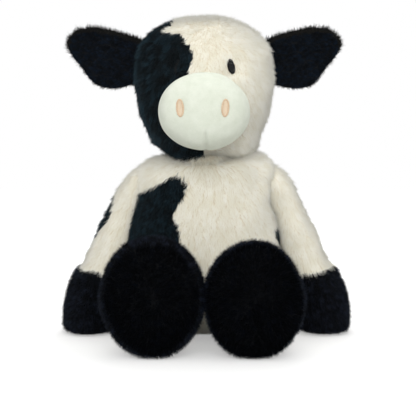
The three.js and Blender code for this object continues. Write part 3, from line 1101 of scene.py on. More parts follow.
def set_piece(
    name: str, mesh: Mesh, nodes: Sequence[str], attachment: Attachment,
) -> None:
    """Puts a piece on the cow in place of its plain solids.

    Args:
        name: the piece's name.
        mesh: its mesh, with its finish.
        nodes: the plain solids that it stands for.
        attachment: what carries it.
    """
    piece = new_object(name, mesh)
    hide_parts(*nodes)
    attachment.attach(piece)
    LOG.info("%s: %d faces", name, len(mesh.polygons))


@dataclass
class Panel:
    """One cut of cloth and the fur on it.

    Attributes:
        name: the piece's name.
        surface: the cloth's outer face.
        plush: the cloth and its strands' finish.
        coat: how the pile grows.
        attachment: what carries it.
        nodes: the plain solids that it stands for, or none for the one of its own name.
        wall: the cloth's thickness.
        fill: how tightly it is stuffed, from 0 to 1; not used.
        ground: the height that no strand goes under.
    """

    name: str
    surface: Surface
    plush: Plush
    coat: Coat
    attachment: Attachment
    nodes: Sequence[str] = ()
    wall: float = 1.6
    fill: float = 0.75
    ground: float = 0.2

    def build(self, furrier: Furrier) -> None:
        """Makes the cloth and its fur, and joins both to the cow.

        Args:
            furrier: grows the fur.
        """
        mesh = new_mesh(self.name, *self.surface.shell(self.wall))
        mesh.materials.append(self.plush.backing.material())
        nodes = self.nodes or (self.name,)
        set_piece(f"{self.name}_cloth", mesh, nodes, self.attachment)
        for piece in furrier.grow(self):
            self.attachment.attach(piece)


class Sewing:
    """A sub-assembly that is sewn from panels of plush."""

    def panels(self) -> list[Panel]:
        """The panels that it is sewn from."""
        raise NotImplementedError

    def build(self, furrier: Furrier) -> None:
        """Makes the panels and their fur, and joins them to the cow."""
        for panel in self.panels():
            panel.build(furrier)


# Forms


@dataclass(frozen=True)
class Pod:
    """An upright stuffed form from rows of height, half width, front and back.

    Attributes:
        rows: shares of the sizes of the same names.
        height: its height.
        width: its width.
        front: how far it reaches forwards from its middle.
        back: how far it reaches backwards.
        base: the height of its lowest point.
    """

    rows: Rows
    height: float
    width: float
    front: float
    back: float
    base: float

    def profile(self, count: int) -> Array:
        """Runs a smooth curve through the form's rows.

        Args:
            count: how many rows the curve has.

        Returns:
            Rows of height, half width, front and back.
        """
        size = np.array([self.height, self.width / 2, self.front, self.back])
        table = np.asarray(self.rows) * size
        table[:, 0] += self.base
        return spline(table, count, (1, 2, 3), (True, True))

    def surface(self, rings: int, sides: int) -> Surface:
        """Makes the form's skin.

        Args:
            rings: how many rings it has.
            sides: how many corners a ring has.

        Returns:
            The skin, before its pile.
        """
        turn = np.linspace(0, 2 * math.pi, sides, endpoint=False)
        rows = self.profile(rings)
        x = rows[:, 1:2] * np.sin(turn)
        depth = np.where(np.cos(turn) > 0, rows[:, 2:3], rows[:, 3:4])
        y = -depth * np.cos(turn)
        z = np.broadcast_to(rows[:, 0:1], x.shape)
        return Surface.lofted(np.stack([x, y, z], axis=-1), (True, True))

    def holds(self, points: Array, margin: float) -> Array:
        """Tells which points lie inside the form by a margin.

        Args:
            points: the places to look at.
            margin: how deep inside.

        Returns:
            True for each point that deep inside.
        """
        rows = self.profile(240)
        rows = rows[np.argsort(rows[:, 0])]
        across, front, back = (np.interp(points[:, 2], rows[:, 0], rows[:, i]) for i in (1, 2, 3))
        depth = np.where(points[:, 1] < 0, front, back)
        across, depth = np.maximum(across - margin, 0.1), np.maximum(depth - margin, 0.1)
        inside = (points[:, 0] / across) ** 2 + (points[:, 1] / depth) ** 2 < 1
        high = points[:, 2] < self.base + self.height - margin
        return inside & high & (points[:, 2] > self.base + margin)

    def uncovered(self, points: Array, margin: float) -> Array:
        """The cover of a limb's pile: none where the form holds it by a margin."""
        return np.where(self.holds(points, margin), 0.0, 1.0)

    def outline(self, shares: Rows, base: float, height: float) -> Array:
        """A patch's outline, seen from the front."""
        return np.asarray(shares) * [self.width / 2, height] + [0, base]


@dataclass(frozen=True)
class Limb:
    """A stuffed form round a straight axis, from rows of length, radii and sway.

    Attributes:
        rows: along the axis, two half sizes and a sway of the middle.
        start: where the axis starts.
        axis: the axis's direction.
        outward: the direction of the first half size and of the sway.
        other: the direction of the second half size.
        poles: whether it is closed at its two ends.
    """

    rows: Rows
    start: Place
    axis: Place
    outward: Place
    other: Place
    poles: Ends = (False, True)

    def surface(self, rings: int, sides: int) -> Surface:
        """Makes the form's skin.

        Args:
            rings: how many rings it has.
            sides: how many corners a ring has.

        Returns:
            The skin, before its pile.
        """
        rows = spline(self.rows, rings, (1, 2), self.poles)
        turn = np.linspace(0, 2 * math.pi, sides, endpoint=False)
        start, axis, outward, other = (
            np.array(v, float) for v in (self.start, self.axis, self.outward, self.other)
        )
        middle = start + rows[:, 0:1] * axis + rows[:, 3:4] * outward
        first = rows[:, 1:2, None] * np.cos(turn)[None, :, None] * outward
        second = rows[:, 2:3, None] * np.sin(turn)[None, :, None] * other
        return Surface.lofted(middle[:, None, :] + first + second, self.poles)

    def along(self, points: Array) -> Array:
        """How far along the axis each point lies."""
        return (points - np.array(self.start)) @ np.array(self.axis, float)

    def aside(self, points: Array) -> Array:
        """How far outward from the axis each point lies."""
        return (points - np.array(self.start)) @ np.array(self.outward, float)

    def sewn(self, fixed: str, swinging: str, start: float, end: float) -> Sewn:
        """A Sewn record of the bodies, and of where along the axis its cloth would follow the
        second.
        """
        foot, axis = np.array(self.start), np.array(self.axis)
        return Sewn(fixed, swinging, foot + axis * start, foot + axis * end)


TORSO_POD = Pod(
    rows=(
        (0, 0, 0, 0), (0.006, 0.56, 0.5, 0.56), (0.03, 0.79, 0.72, 0.8),
        (0.085, 0.91, 0.87, 0.93), (0.2, 0.99, 0.98, 1), (0.4, 1, 1, 0.98),
        (0.58, 0.965, 0.95, 0.87), (0.72, 0.915, 0.87, 0.78), (0.84, 0.86, 0.77, 0.73),
        (0.91, 0.82, 0.67, 0.66), (0.96, 0.67, 0.53, 0.55), (0.99, 0.43, 0.33, 0.37), (1, 0, 0, 0),
    ),
    height=189.5, width=172, front=60, back=62, base=-0.5,
)
HEAD_POD = Pod(
    rows=(
        (0, 0, 0, 0), (0.025, 0.42, 0.43, 0.42), (0.075, 0.65, 0.68, 0.62),
        (0.15, 0.79, 0.84, 0.76), (0.27, 0.895, 0.95, 0.89), (0.42, 0.975, 1, 0.98),
        (0.6, 1, 0.98, 1), (0.74, 0.96, 0.89, 0.93), (0.86, 0.81, 0.71, 0.77),
        (0.94, 0.58, 0.5, 0.54), (0.985, 0.31, 0.27, 0.29), (1, 0, 0, 0),
    ),
    height=151, width=152, front=62, back=62, base=189,
)


# Sub-assemblies


@dataclass
class Torso(Sewing):
    """The torso: a cream skin with a black patch on the chest and one on the left flank.

    Attributes:
        inset: how deep the cloth lies under its pile.
        lumps: the height of the stuffing's lumps.
        crest: the roll round the neck: its distance from the axis, its width and its height.
        crest_tilt: how much further out and higher the roll is on the left.
        shoulder: the filled shoulder: its distance from the middle, its width and its height.
        crease: the fold beside the left arm, as places across and up.
        crease_size: the fold's half width and its depth.
        chest: the chest patch's outline, as shares of the half width and the height.
        flank: the flank patch's outline.
        coat: the cream pile.
        black: the black pile.
    """

    inset: float = 4.6
    lumps: float = 1.2
    crest: Place = (58, 18, 7.4)
    crest_tilt: tuple[float, float] = (3, 3.6)
    shoulder: Place = (68, 11, 4.2)
    crease: Rows = ((79, 115), (79, 122), (73, 136), (68, 152), (63, 170))
    crease_size: tuple[float, float] = (2.4, 3.2)
    chest: Rows = (
        (-0.31, 0.91), (-0.2, 0.86), (-0.225, 0.8), (-0.32, 0.74), (-0.385, 0.67), (-0.33, 0.655),
        (-0.28, 0.6), (-0.3, 0.45), (-0.42, 0.25), (-1.1, 0.22), (-1.1, 0.8), (-0.76, 0.81),
        (-0.62, 0.84), (-0.5, 0.87),
    )
    flank: Rows = (
        (0.4, 0.62), (0.62, 0.67), (1.1, 0.66), (1.1, 0.34), (0.72, 0.3), (0.5, 0.36),
        (0.33, 0.46),
    )
    coat: Coat = Coat(seed=7)
    black: Coat = Coat(
        length=7.5, width=0.6, density=1.25, tufts=0.08, pull=0.32, softness=0.22, seed=57
    )

    def skin(self) -> Surface:
        """Shapes the whole skin, inset under its pile and settled on the floor.

        Returns:
            The skin with its pile.
        """
        surface = TORSO_POD.surface(rings=84, sides=132)
        lumps = ripple(surface.points, wave=44, seed=3) * self.lumps
        top = smooth(150, 178, surface.points[:, 2])
        surface.move(lumps - self.inset + 3.6 * top)
        surface.settle(ground=1.0, roundness=0.8)
        x, y, z = surface.points.T
        lopsided = np.clip(x / 50, -1, 1)  # the left shoulder is the higher one
        distance, width, height = self.crest
        further, higher = self.crest_tilt
        away = np.hypot(x, 1.35 * y) - distance - further * lopsided
        crest = bump(away, 0, width) * smooth(146, 176, z)
        surface.points[:, 2] += crest * (height + higher * lopsided)
        surface.normals = surface.outward()
        across, up = np.array(self.crease).T
        width, depth = self.crease_size
        crease = bump(x, np.interp(z, up, across), width) * (y < 0)
        crease = crease * smooth(112, 122, z) * smooth(172, 163, z)
        across, width, height = self.shoulder
        fill = bump(np.abs(x), across, width) * smooth(140, 158, z) * smooth(12, -8, y)
        fill *= smooth(194, 180, z) * np.maximum(smooth(-2, -18, y), 0.35 * lopsided)
        surface.move((height + 1.8 * lopsided) * fill - depth * crease)
        surface.normals = surface.outward()
        self.groom(surface, crease)
        return surface

    @staticmethod
    def groom(surface: Surface, crease: Array) -> None:
        """Combs the pile, thins it under the head and the seat and shortens it in the fold.

        Args:
            surface: the skin.
            crease: how far each point lies in the fold, from 0 to 1.
        """
        x, y, z = surface.points.T
        round_about = np.hypot(x, y)
        surface.cover = np.where((z > 168) & (round_about < 30), 0.0, 1.0)
        surface.cover = np.where((z < 3) & (round_about < 60), 0.35, surface.cover)
        surface.pile = (1 - 0.75 * (1 - smooth(1.5, 12, z))) * (1 - 0.6 * crease)
        shoulder = smooth(138, 158, z) * smooth(50, 64, np.abs(x))
        high = np.maximum(smooth(160, 184, z), 0.75 * shoulder)[:, None]
        outwards = level_out(surface.points)
        surface.brush(outwards * high + np.array(DOWN) * (1 - high * 0.8))
        seat = surface.normals[:, 2] < -0.7
        surface.comb[seat] = outwards[seat]

    def panels(self) -> list[Panel]:
        """Cuts the two patches out of the skin.

        Returns:
            The panels.
        """
        skin = self.skin()
        x, y, z = skin.middles().T
        edge = ripple(skin.middles(), wave=11, seed=9) * 0.9
        chest, flank = (
            within(TORSO_POD.outline(shares, 0, TORSO_POD.height - 0.5), x + edge, z + edge)
            for shares in (self.chest, self.flank)
        )
        chest &= y < 0
        flank &= y > -5 - 16 * bump(z, 110, 8) + edge  # further forwards where a sliver shows
        ride = Rigid("torso")
        inside = ("torso_skin", "torso_filling", "seat_bead_pouch")
        cream = skin.panel(~chest & ~flank)
        return [
            Panel("torso", cream, CREAM_PLUSH, self.coat, ride, inside),
            Panel("chest_patch", skin.panel(chest), BLACK_PLUSH, self.black, ride),
            Panel("flank_patch", skin.panel(flank), BLACK_PLUSH, self.black, ride),
        ]


@dataclass
class Neck(Sewing):
    """The collar of cream fur that turns between the torso and the head.

    Attributes:
        rows: height and size, as shares.
        height: its height.
        width: its width.
        depth: how far it reaches to the front and to the back.
        base: the height of its lowest point.
        bare: the radius inside which it has no pile.
        coat: its pile.
    """

    rows: Rows = (
        (0, 0), (0.02, 0.7), (0.12, 0.92), (0.35, 1), (0.6, 0.97), (0.82, 0.82), (0.96, 0.5),
        (1, 0),
    )
    height: float = 22
    width: float = 82
    depth: float = 37
    base: float = 176
    bare: float = 30
    coat: Coat = Coat(length=6.5, density=1.3, lean=0.45, seed=91)

    def panels(self) -> list[Panel]:
        """Shapes the collar and combs its pile.

        Returns:
            The one panel.
        """
        rows = [(z, size, size, size) for z, size in self.rows]
        pod = Pod(rows, self.height, self.width, self.depth, self.depth, self.base)
        surface = pod.surface(rings=30, sides=72)
        x, y, z = surface.points.T
        surface.cover = np.where(np.hypot(x, y) > self.bare, 1.0, 0.0)
        surface.brush(np.stack([x / 60, y / 60, -1 + 0 * z], -1))
        inside = ("neck_filling",)
        return [Panel("neck", surface, CREAM_PLUSH, self.coat, Rigid("neck"), inside)]


@dataclass
class Head(Sewing):
    """The head: a cream skin with one large black patch over its right side.

    Attributes:
        inset: how deep the cloth lies under its pile.
        lumps: the height of the stuffing's lumps.
        patch: the patch's outline, as shares of the half width and the height.
        patch_back: how far behind the middle the patch reaches.
        eye_apart: the distance between the eyes.
        eye_up: the eyes' height.
        dimple: how deep the stitches draw the face in.
        hang: how far the chin hangs on the right and on the left of the middle.
        jowl: how far the left jowl hangs.
        pad_up: the height of the muzzle's middle, where the pile is shorn.
        coat: the cream pile.
        black: the black pile.
    """

    inset: float = 4.4
    lumps: float = 0.7
    patch: Rows = (
        (-0.45, 1.05), (-0.5, 0.92), (-0.6, 0.87), (-0.5, 0.845), (-0.35, 0.835), (-0.22, 0.77),
        (-0.15, 0.7), (-0.14, 0.66), (-0.2, 0.59), (-0.1, 0.4), (0, 0.2), (0, -0.05),
        (-1.2, -0.05), (-1.2, 1.05),
    )
    patch_back: float = 22
    eye_apart: float = 54
    eye_up: float = 280.5
    dimple: float = 4.4
    hang: tuple[float, float] = (8.5, 3.0)
    jowl: float = 6
    pad_up: float = 233
    coat: Coat = Coat(length=8, width=0.52, density=1.6, seed=13, lean=0.6)
    black: Coat = Coat(length=7.5, width=0.56, density=1.4, softness=0.35, seed=63, lean=0.6)

    def skin(self) -> Surface:
        """Shapes the whole skin, inset under its pile and drawn in at the eyes.

        Returns:
            The skin with its pile.
        """
        surface = HEAD_POD.surface(rings=80, sides=124)
        lumps = ripple(surface.points, wave=40, seed=21) * self.lumps
        low = 1 - smooth(197, 218, surface.points[:, 2])
        jowls = 4.0 + 1.8 * np.clip(surface.points[:, 0] / 40, -1, 1)
        surface.move(lumps - self.inset + jowls * low)
        x, y, z = surface.points.T
        beside = np.abs(np.abs(x) - self.eye_apart / 2)
        away = np.hypot(beside / 0.8, z - self.eye_up)
        near = np.where(y < 0, bump(away, 0, 11), 0)
        surface.points[:, 1] += self.dimple * near
        chin = (1 - smooth(198, 222, z)) * smooth(-8, -30, y)
        right, left = self.hang
        hang = right * bump(x, -22, 24) + left * bump(x, 27, 17)
        surface.points[:, 1:] -= (chin * hang)[:, None] * [0.3, 1]
        jowl = (1 - smooth(198, 226, z)) * bump(x, 46, 15) * smooth(40, 10, y)
        surface.points[:, 2] -= self.jowl * jowl
        surface.normals = surface.outward()
        tight = np.hypot(beside, (z - self.eye_up) * 0.5) < 4.2
        self.groom(surface, low, near, tight)
        return surface

    def groom(self, surface: Surface, low: Array, near: Array, tight: Array) -> None:
        """Combs the pile, and shears it round the muzzle and the eyes.

        Args:
            surface: the skin.
            low: how far each point belongs to the jaw, from 0 to 1.
            near: how close it is to an eye, from 0 to 1.
            tight: whether it is right under an eye's stitches.
        """
        x, y, z = surface.points.T
        face, left = y < 0, x > 0
        pad = (x / 43) ** 2 + ((z - self.pad_up) / 36) ** 2
        rim = np.where(face, smooth(0.9, 1.5, pad), 1)
        surface.pile = (1 - np.where(left, 0.72, 0.3) * near) * (0.45 + 0.55 * rim)
        surface.cover = np.where(face & (pad < 0.8), 0.0, 1.0)
        surface.cover = np.where((z < 197) & (np.hypot(x, y) < 24), 0.0, surface.cover)
        surface.cover = np.where(face & tight, np.where(left, 0.25, 1.0), surface.cover)
        crown = smooth(304, 334, z)
        way = np.stack([x * 0.006, 0.15 - 1.3 * crown, -1 + 0 * z], -1)
        surface.brush(way + level_out(surface.points) * low[:, None] * 1.4)
        chin = (1 - smooth(194, 206, z)) * smooth(-10, -26, y) * smooth(58, 40, np.abs(x))
        surface.comb *= 1 - 0.5 * chin[:, None]
        surface.pile = np.maximum(surface.pile, 0.75 * chin)

    def panels(self) -> list[Panel]:
        """Cuts the patch out of the skin.

        Returns:
            The panels.
        """
        skin = self.skin()
        x, y, z = skin.middles().T
        x = x - 7 * smooth(314, 326, z)
        edge = ripple(skin.middles(), wave=10, seed=29) * 0.8
        outline = HEAD_POD.outline(self.patch, HEAD_POD.base, HEAD_POD.height)
        patch = within(outline, x + edge, z + edge) & (y < self.patch_back + edge)
        ride = Rigid("head")
        inside = ("head_skin", "head_filling")
        return [
            Panel("head", skin.panel(~patch), CREAM_PLUSH, self.coat, ride, inside),
            Panel("head_patch", skin.panel(patch), BLACK_PLUSH, self.black, ride),
        ]


@dataclass
class Stitching:
    """Satin stitches in an upright oval, with an outline thread.

    Attributes:
        width: the oval's width.
        height: the oval's height.
        thread: a thread's thickness.
    """

    width: float
    height: float
    thread: float

    def threads(self, name: str, finish: Cloth) -> Mesh:
        """Lays the threads side by side in a flat oval.

        Args:
            name: the mesh's name.
            finish: the threads' finish.

        Returns:
            The threads' mesh, with across as X and up as Z.
        """
        apart, thick = 0.8, 1.15  # shares of the thread: neighbours overlap
        thread = self.one_thread()
        line = f"{name}_line"
        source = new_object(line, new_mesh(line, np.zeros((3, 3)), np.array([[0, 1, 2]])))
        values = {
            "Thread": thread, "Count": round(self.height / (self.thread * apart)),
            "Width": self.width * MM, "Height": self.height * MM,
            "Thickness": self.thread * thick * MM, "Finish": finish.material(),
        }
        mesh = self.recipe(f"{name}_satin").run(source, name, values)
        only_finish(mesh, finish.material())
        discard(thread)
        return mesh

    @staticmethod
    def recipe(name: str) -> Recipe:
        """Builds the tree that lays a thread in each row of an oval.

        Args:
            name: the tree's name.

        Returns:
            The recipe.
        """
        recipe = Recipe(
            name,
            {
                "Object": ("Thread",), "Int": ("Count",),
                "Float": ("Width", "Height", "Thickness"), "Material": ("Finish",),
            },
        )
        n, into = recipe.begin()
        count, height, thickness = into["Count"], into["Height"], into["Thickness"]
        step = n.value("DIVIDE", height, count)
        first = n.value("MULTIPLY_ADD", height, -0.5, n.product(step, 0.5))
        line = n.add(
            "GeometryNodeMeshLine",
            {"Count": count, "Start Location": n.joined(z=first), "Offset": n.joined(z=step)},
            mode="OFFSET",
        )
        _, _, place = n.split(n.add("GeometryNodeInputPosition"))
        share = n.value("DIVIDE", place, n.product(height, 0.5))
        round_off = n.value("SQRT", n.value("SUBTRACT", 1.0, n.product(share, share)))
        wide = n.product(into["Width"], round_off, n.chance(0.95, 1.04, 3))
        askew = n.joined(y=n.chance(-0.05, 0.05, 4))
        laid = n.add(
            "GeometryNodeInstanceOnPoints",
            {
                "Points": line,
                "Instance": n.add("GeometryNodeObjectInfo", {"Object": into["Thread"]}, "Geometry"),
                "Rotation": n.add("FunctionNodeEulerToRotation", {0: askew}),
                "Scale": n.joined(wide, thickness, thickness),
            },
        )
        whole = n.add("GeometryNodeRealizeInstances", {"Geometry": laid})
        finished = {"Geometry": whole, "Material": into["Finish"]}
        recipe.finish(n.add("GeometryNodeSetMaterial", finished))
        return recipe

    @staticmethod
    def one_thread() -> Object:
        """Makes one stitch along X, of length and thickness 1, with round ends.

        Returns:
            The stitch's object.
        """
        rows = [(-0.5, 0), (-0.49, 0.22), (-0.44, 0.4), (-0.3, 0.5), (0, 0.54)]
        rows += [(-along, out) for along, out in reversed(rows[:-1])]
        turn = np.linspace(0, 2 * math.pi, 7, endpoint=False)
        rings = np.array(
            [[(along, out * math.cos(t), out * math.sin(t)) for t in turn] for along, out in rows]
        )
        surface = Surface.lofted(rings / MM, (True, True))
        return new_object("stitch", new_mesh("stitch", surface.points, surface.faces))

    def outline(self, name: str, finish: Cloth) -> Mesh:
        """Makes the outline thread round the oval, twisted from short stitches.

        Args:
            name: the mesh's name.
            finish: the thread's finish.

        Returns:
            The outline's mesh, with across as X and up as Z.
        """
        count, sides, stitches = 96, 8, 24
        radius, swelling = self.thread * 0.62, 0.16
        turns = np.linspace(0, 2 * math.pi, count, endpoint=False)
        across, up = np.cos(turns), np.sin(turns)
        centre = np.stack([self.width / 2 * across, 0 * turns, self.height / 2 * up], -1)
        out = unit(np.stack([across / self.width, 0 * turns, up / self.height], -1))
        swell = radius * (1 + swelling * np.sin(turns * stitches))[:, None, None]
        spin = np.linspace(0, 2 * math.pi, sides, endpoint=False)[None, :, None]
        ring = np.cos(spin) * out[:, None] + np.sin(spin) * np.array([0.0, 1.0, 0.0])
        rings = centre[:, None] + swell * ring
        rings = np.concatenate([rings, rings[:1]])
        surface = Surface.lofted(rings, (False, False))
        key = np.round(surface.points, 5)
        _, first, back = np.unique(key, axis=0, return_index=True, return_inverse=True)
        mesh = new_mesh(name, surface.points[first], back.reshape(-1)[surface.faces])
        mesh.materials.append(finish.material())
        return mesh


@dataclass
class Embroidery:
    """A stitched oval on a cloth.

    Attributes:
        node: the plain solid that it stands for.
        slot: the record's material; not used.
        satin: the threads inside the oval, and their finish.
        rim: the thread round it, and its finish.
        across: where its middle goes.
        up: the height of its middle.
        tilt: how far its top leans towards +X, in degrees.
        lifts: how far the satin and the rim stand off the cloth.
    """

    node: str
    slot: Slot
    satin: tuple[Stitching, Cloth]
    rim: tuple[Stitching, Cloth]
    across: float
    up: float
    tilt: float
    lifts: tuple[float, float]

    def sew(self, cloth: Surface) -> None:
        """Stitches the oval, lays it on the cloth and puts it on the head.

        Args:
            cloth: what it is sewn on.
        """
        (stitches, satin), (thread, rim) = self.satin, self.rim
        meshes = {
            "satin": stitches.threads(f"{self.node}_satin", satin),
            "outline": thread.outline(f"{self.node}_outline", rim),
        }
        for (word, mesh), lift in zip(meshes.items(), self.lifts):
            self.lay(mesh, cloth, lift)
            mesh.shade_smooth()
            set_piece(f"{self.node}_{word}", mesh, (self.node,), Rigid("head"))

    def lay(self, mesh: Mesh, cloth: Surface, lift: float) -> None:
        """Lays a flat mesh on the front of a cloth.

        Args:
            mesh: the mesh, with across as X and up as Z, in metres.
            cloth: what it is sewn on.
            lift: how far its middle plane stands off the cloth.
        """
        in_front = -300.0
        tree = BVHTree.FromPolygons(cloth.points.tolist(), cloth.faces.tolist())
        places = np.empty(len(mesh.vertices) * 3)
        mesh.vertices.foreach_get("co", places)
        places = places.reshape(-1, 3) / MM
        lean = math.radians(self.tilt)
        for i, (x, y, z) in enumerate(places):
            at_x = self.across + x * math.cos(lean) + z * math.sin(lean)
            at_z = self.up - x * math.sin(lean) + z * math.cos(lean)
            hit, normal, _, _ = tree.ray_cast(Vector((at_x, in_front, at_z)), Vector((0, 1, 0)))
            if hit is not None:
                places[i] = (hit + normal * (lift - y))[:]
        mesh.vertices.foreach_set("co", (places * MM).ravel())
        mesh.update()


@dataclass
class Muzzle:
    """The padded muzzle of short-pile velour, with two stitched nostrils.

    Attributes:
        rows: reach, half width and half height, as shares.
        width: its width.
        height: its height.
        reach: how far it runs, from inside the head.
        start: where it starts, as a distance behind the cow's front.
        up: the height of its middle.
        wall: the cloth's thickness.
        fill: how tightly it is stuffed, from 0 to 1; not used.
        seam: the seam under the nostrils: its place across, its half width and its depth.
        nostril: the nostrils' stitching.
        border: the stitching round it.
        nostril_apart: the distance between them.
        nostril_up: their height.
        nostril_aside: how far both are off the middle.
        nostril_tilt: how far their tops lean apart, in degrees.
        nostril_lifts: how far the satin and the border stand off the cloth.
    """

    rows: Rows = (
        (0, 0.9, 0.9), (0.3, 0.95, 0.95), (0.45, 1, 1), (0.66, 0.965, 0.96), (0.83, 0.84, 0.83),
        (0.94, 0.6, 0.59), (0.99, 0.3, 0.3), (1, 0, 0),
    )
    width: float = 90.8
    height: float = 77
    reach: float = 73
    start: float = -32
    up: float = 233.7
    wall: float = 1.4
    fill: float = 0.85
    seam: Place = (1.5, 1.1, 1.9)
    nostril: Stitching = field(default_factory=lambda: Stitching(5.4, 14.8, 0.7))
    border: Stitching = field(default_factory=lambda: Stitching(6.4, 15.8, 1.15))
    nostril_apart: float = 42.6
    nostril_up: float = 235
    nostril_aside: float = -1.2
    nostril_tilt: float = 4
    nostril_lifts: tuple[float, float] = (0.25, 0.45)

    def surface(self) -> Surface:
        """Shapes the muzzle's skin, with its seams drawn in.

        Returns:
            The skin.
        """
        table = [
            (a * self.reach, w * self.width / 2, h * self.height / 2, 0) for a, w, h in self.rows
        ]
        limb = Limb(table, (0, self.start, self.up), FORWARDS, (1, 0, 0), (0, 0, 1))
        surface = limb.surface(rings=90, sides=120)
        surface.move(ripple(surface.points, wave=30, seed=41) * 0.45 - 0.3)
        x, y, z = surface.points.T
        across, width, depth = self.seam
        draw = depth * (bump(x, across, width) * smooth(-14, -28, z - self.up))
        for side in Side:
            beside = x - self.nostril_aside - side.value * self.nostril_apart / 2
            above = z - self.nostril_up
            away = np.hypot(beside / 0.8, above / 1.5)
            folds = 1 + 0.25 * np.sin(np.arctan2(above, beside) * 11) * smooth(3, 6, away)
            draw = draw + 2.4 * folds * bump(away, 0, 5.4) * (y < -60)
        surface.move(-draw)
        surface.normals = surface.outward()
        return surface

    def build(self) -> None:
        """Makes the pad and the nostrils."""
        skin = self.surface()
        mesh = new_mesh("muzzle_pad", *skin.shell(self.wall))
        mesh.materials.append(MUZZLE_VELOUR.material())
        nodes = ("muzzle_skin", "muzzle_filling")
        set_piece("muzzle_pad", mesh, nodes, Rigid("head"))
        for side in Side:
            Embroidery(
                f"nostril_{side.word}", Slot.NOSTRIL, satin=(self.nostril, NOSTRIL_THREAD),
                rim=(self.border, NOSTRIL_OUTLINE),
                across=side.value * self.nostril_apart / 2 + self.nostril_aside,
                up=self.nostril_up, tilt=side.value * self.nostril_tilt, lifts=self.nostril_lifts,
            ).sew(skin)


@dataclass
class Eyes:
    """The two stitched eyes.

    Attributes:
        eye: the eyes' stitching.
        apart: the distance between them.
        up: their height.
        tilt: how far the tops lean together, in degrees.
        lifts: how far the right and the left one stand off the cloth; black pile hides the right.
        step: how much lower the outline lies than the satin.
    """

    eye: Stitching = field(default_factory=lambda: Stitching(7.2, 15.2, 0.8))
    apart: float = 54
    up: float = 279.8
    tilt: float = 14
    lifts: tuple[float, float] = (0.3, 1.5)
    step: float = 0.1

    def build(self, skin: Surface) -> None:
        """Sews the eyes on.

        Args:
            skin: the head's skin.
        """
        for side in Side:
            lift = self.lifts[side is Side.LEFT]
            Embroidery(
                f"eye_{side.word}", Slot.EYE, satin=(self.eye, EYE_THREAD),
                rim=(self.eye, EYE_OUTLINE), across=side.value * self.apart / 2, up=self.up,
                tilt=-side.value * self.tilt, lifts=(lift, lift - self.step),
            ).sew(skin)


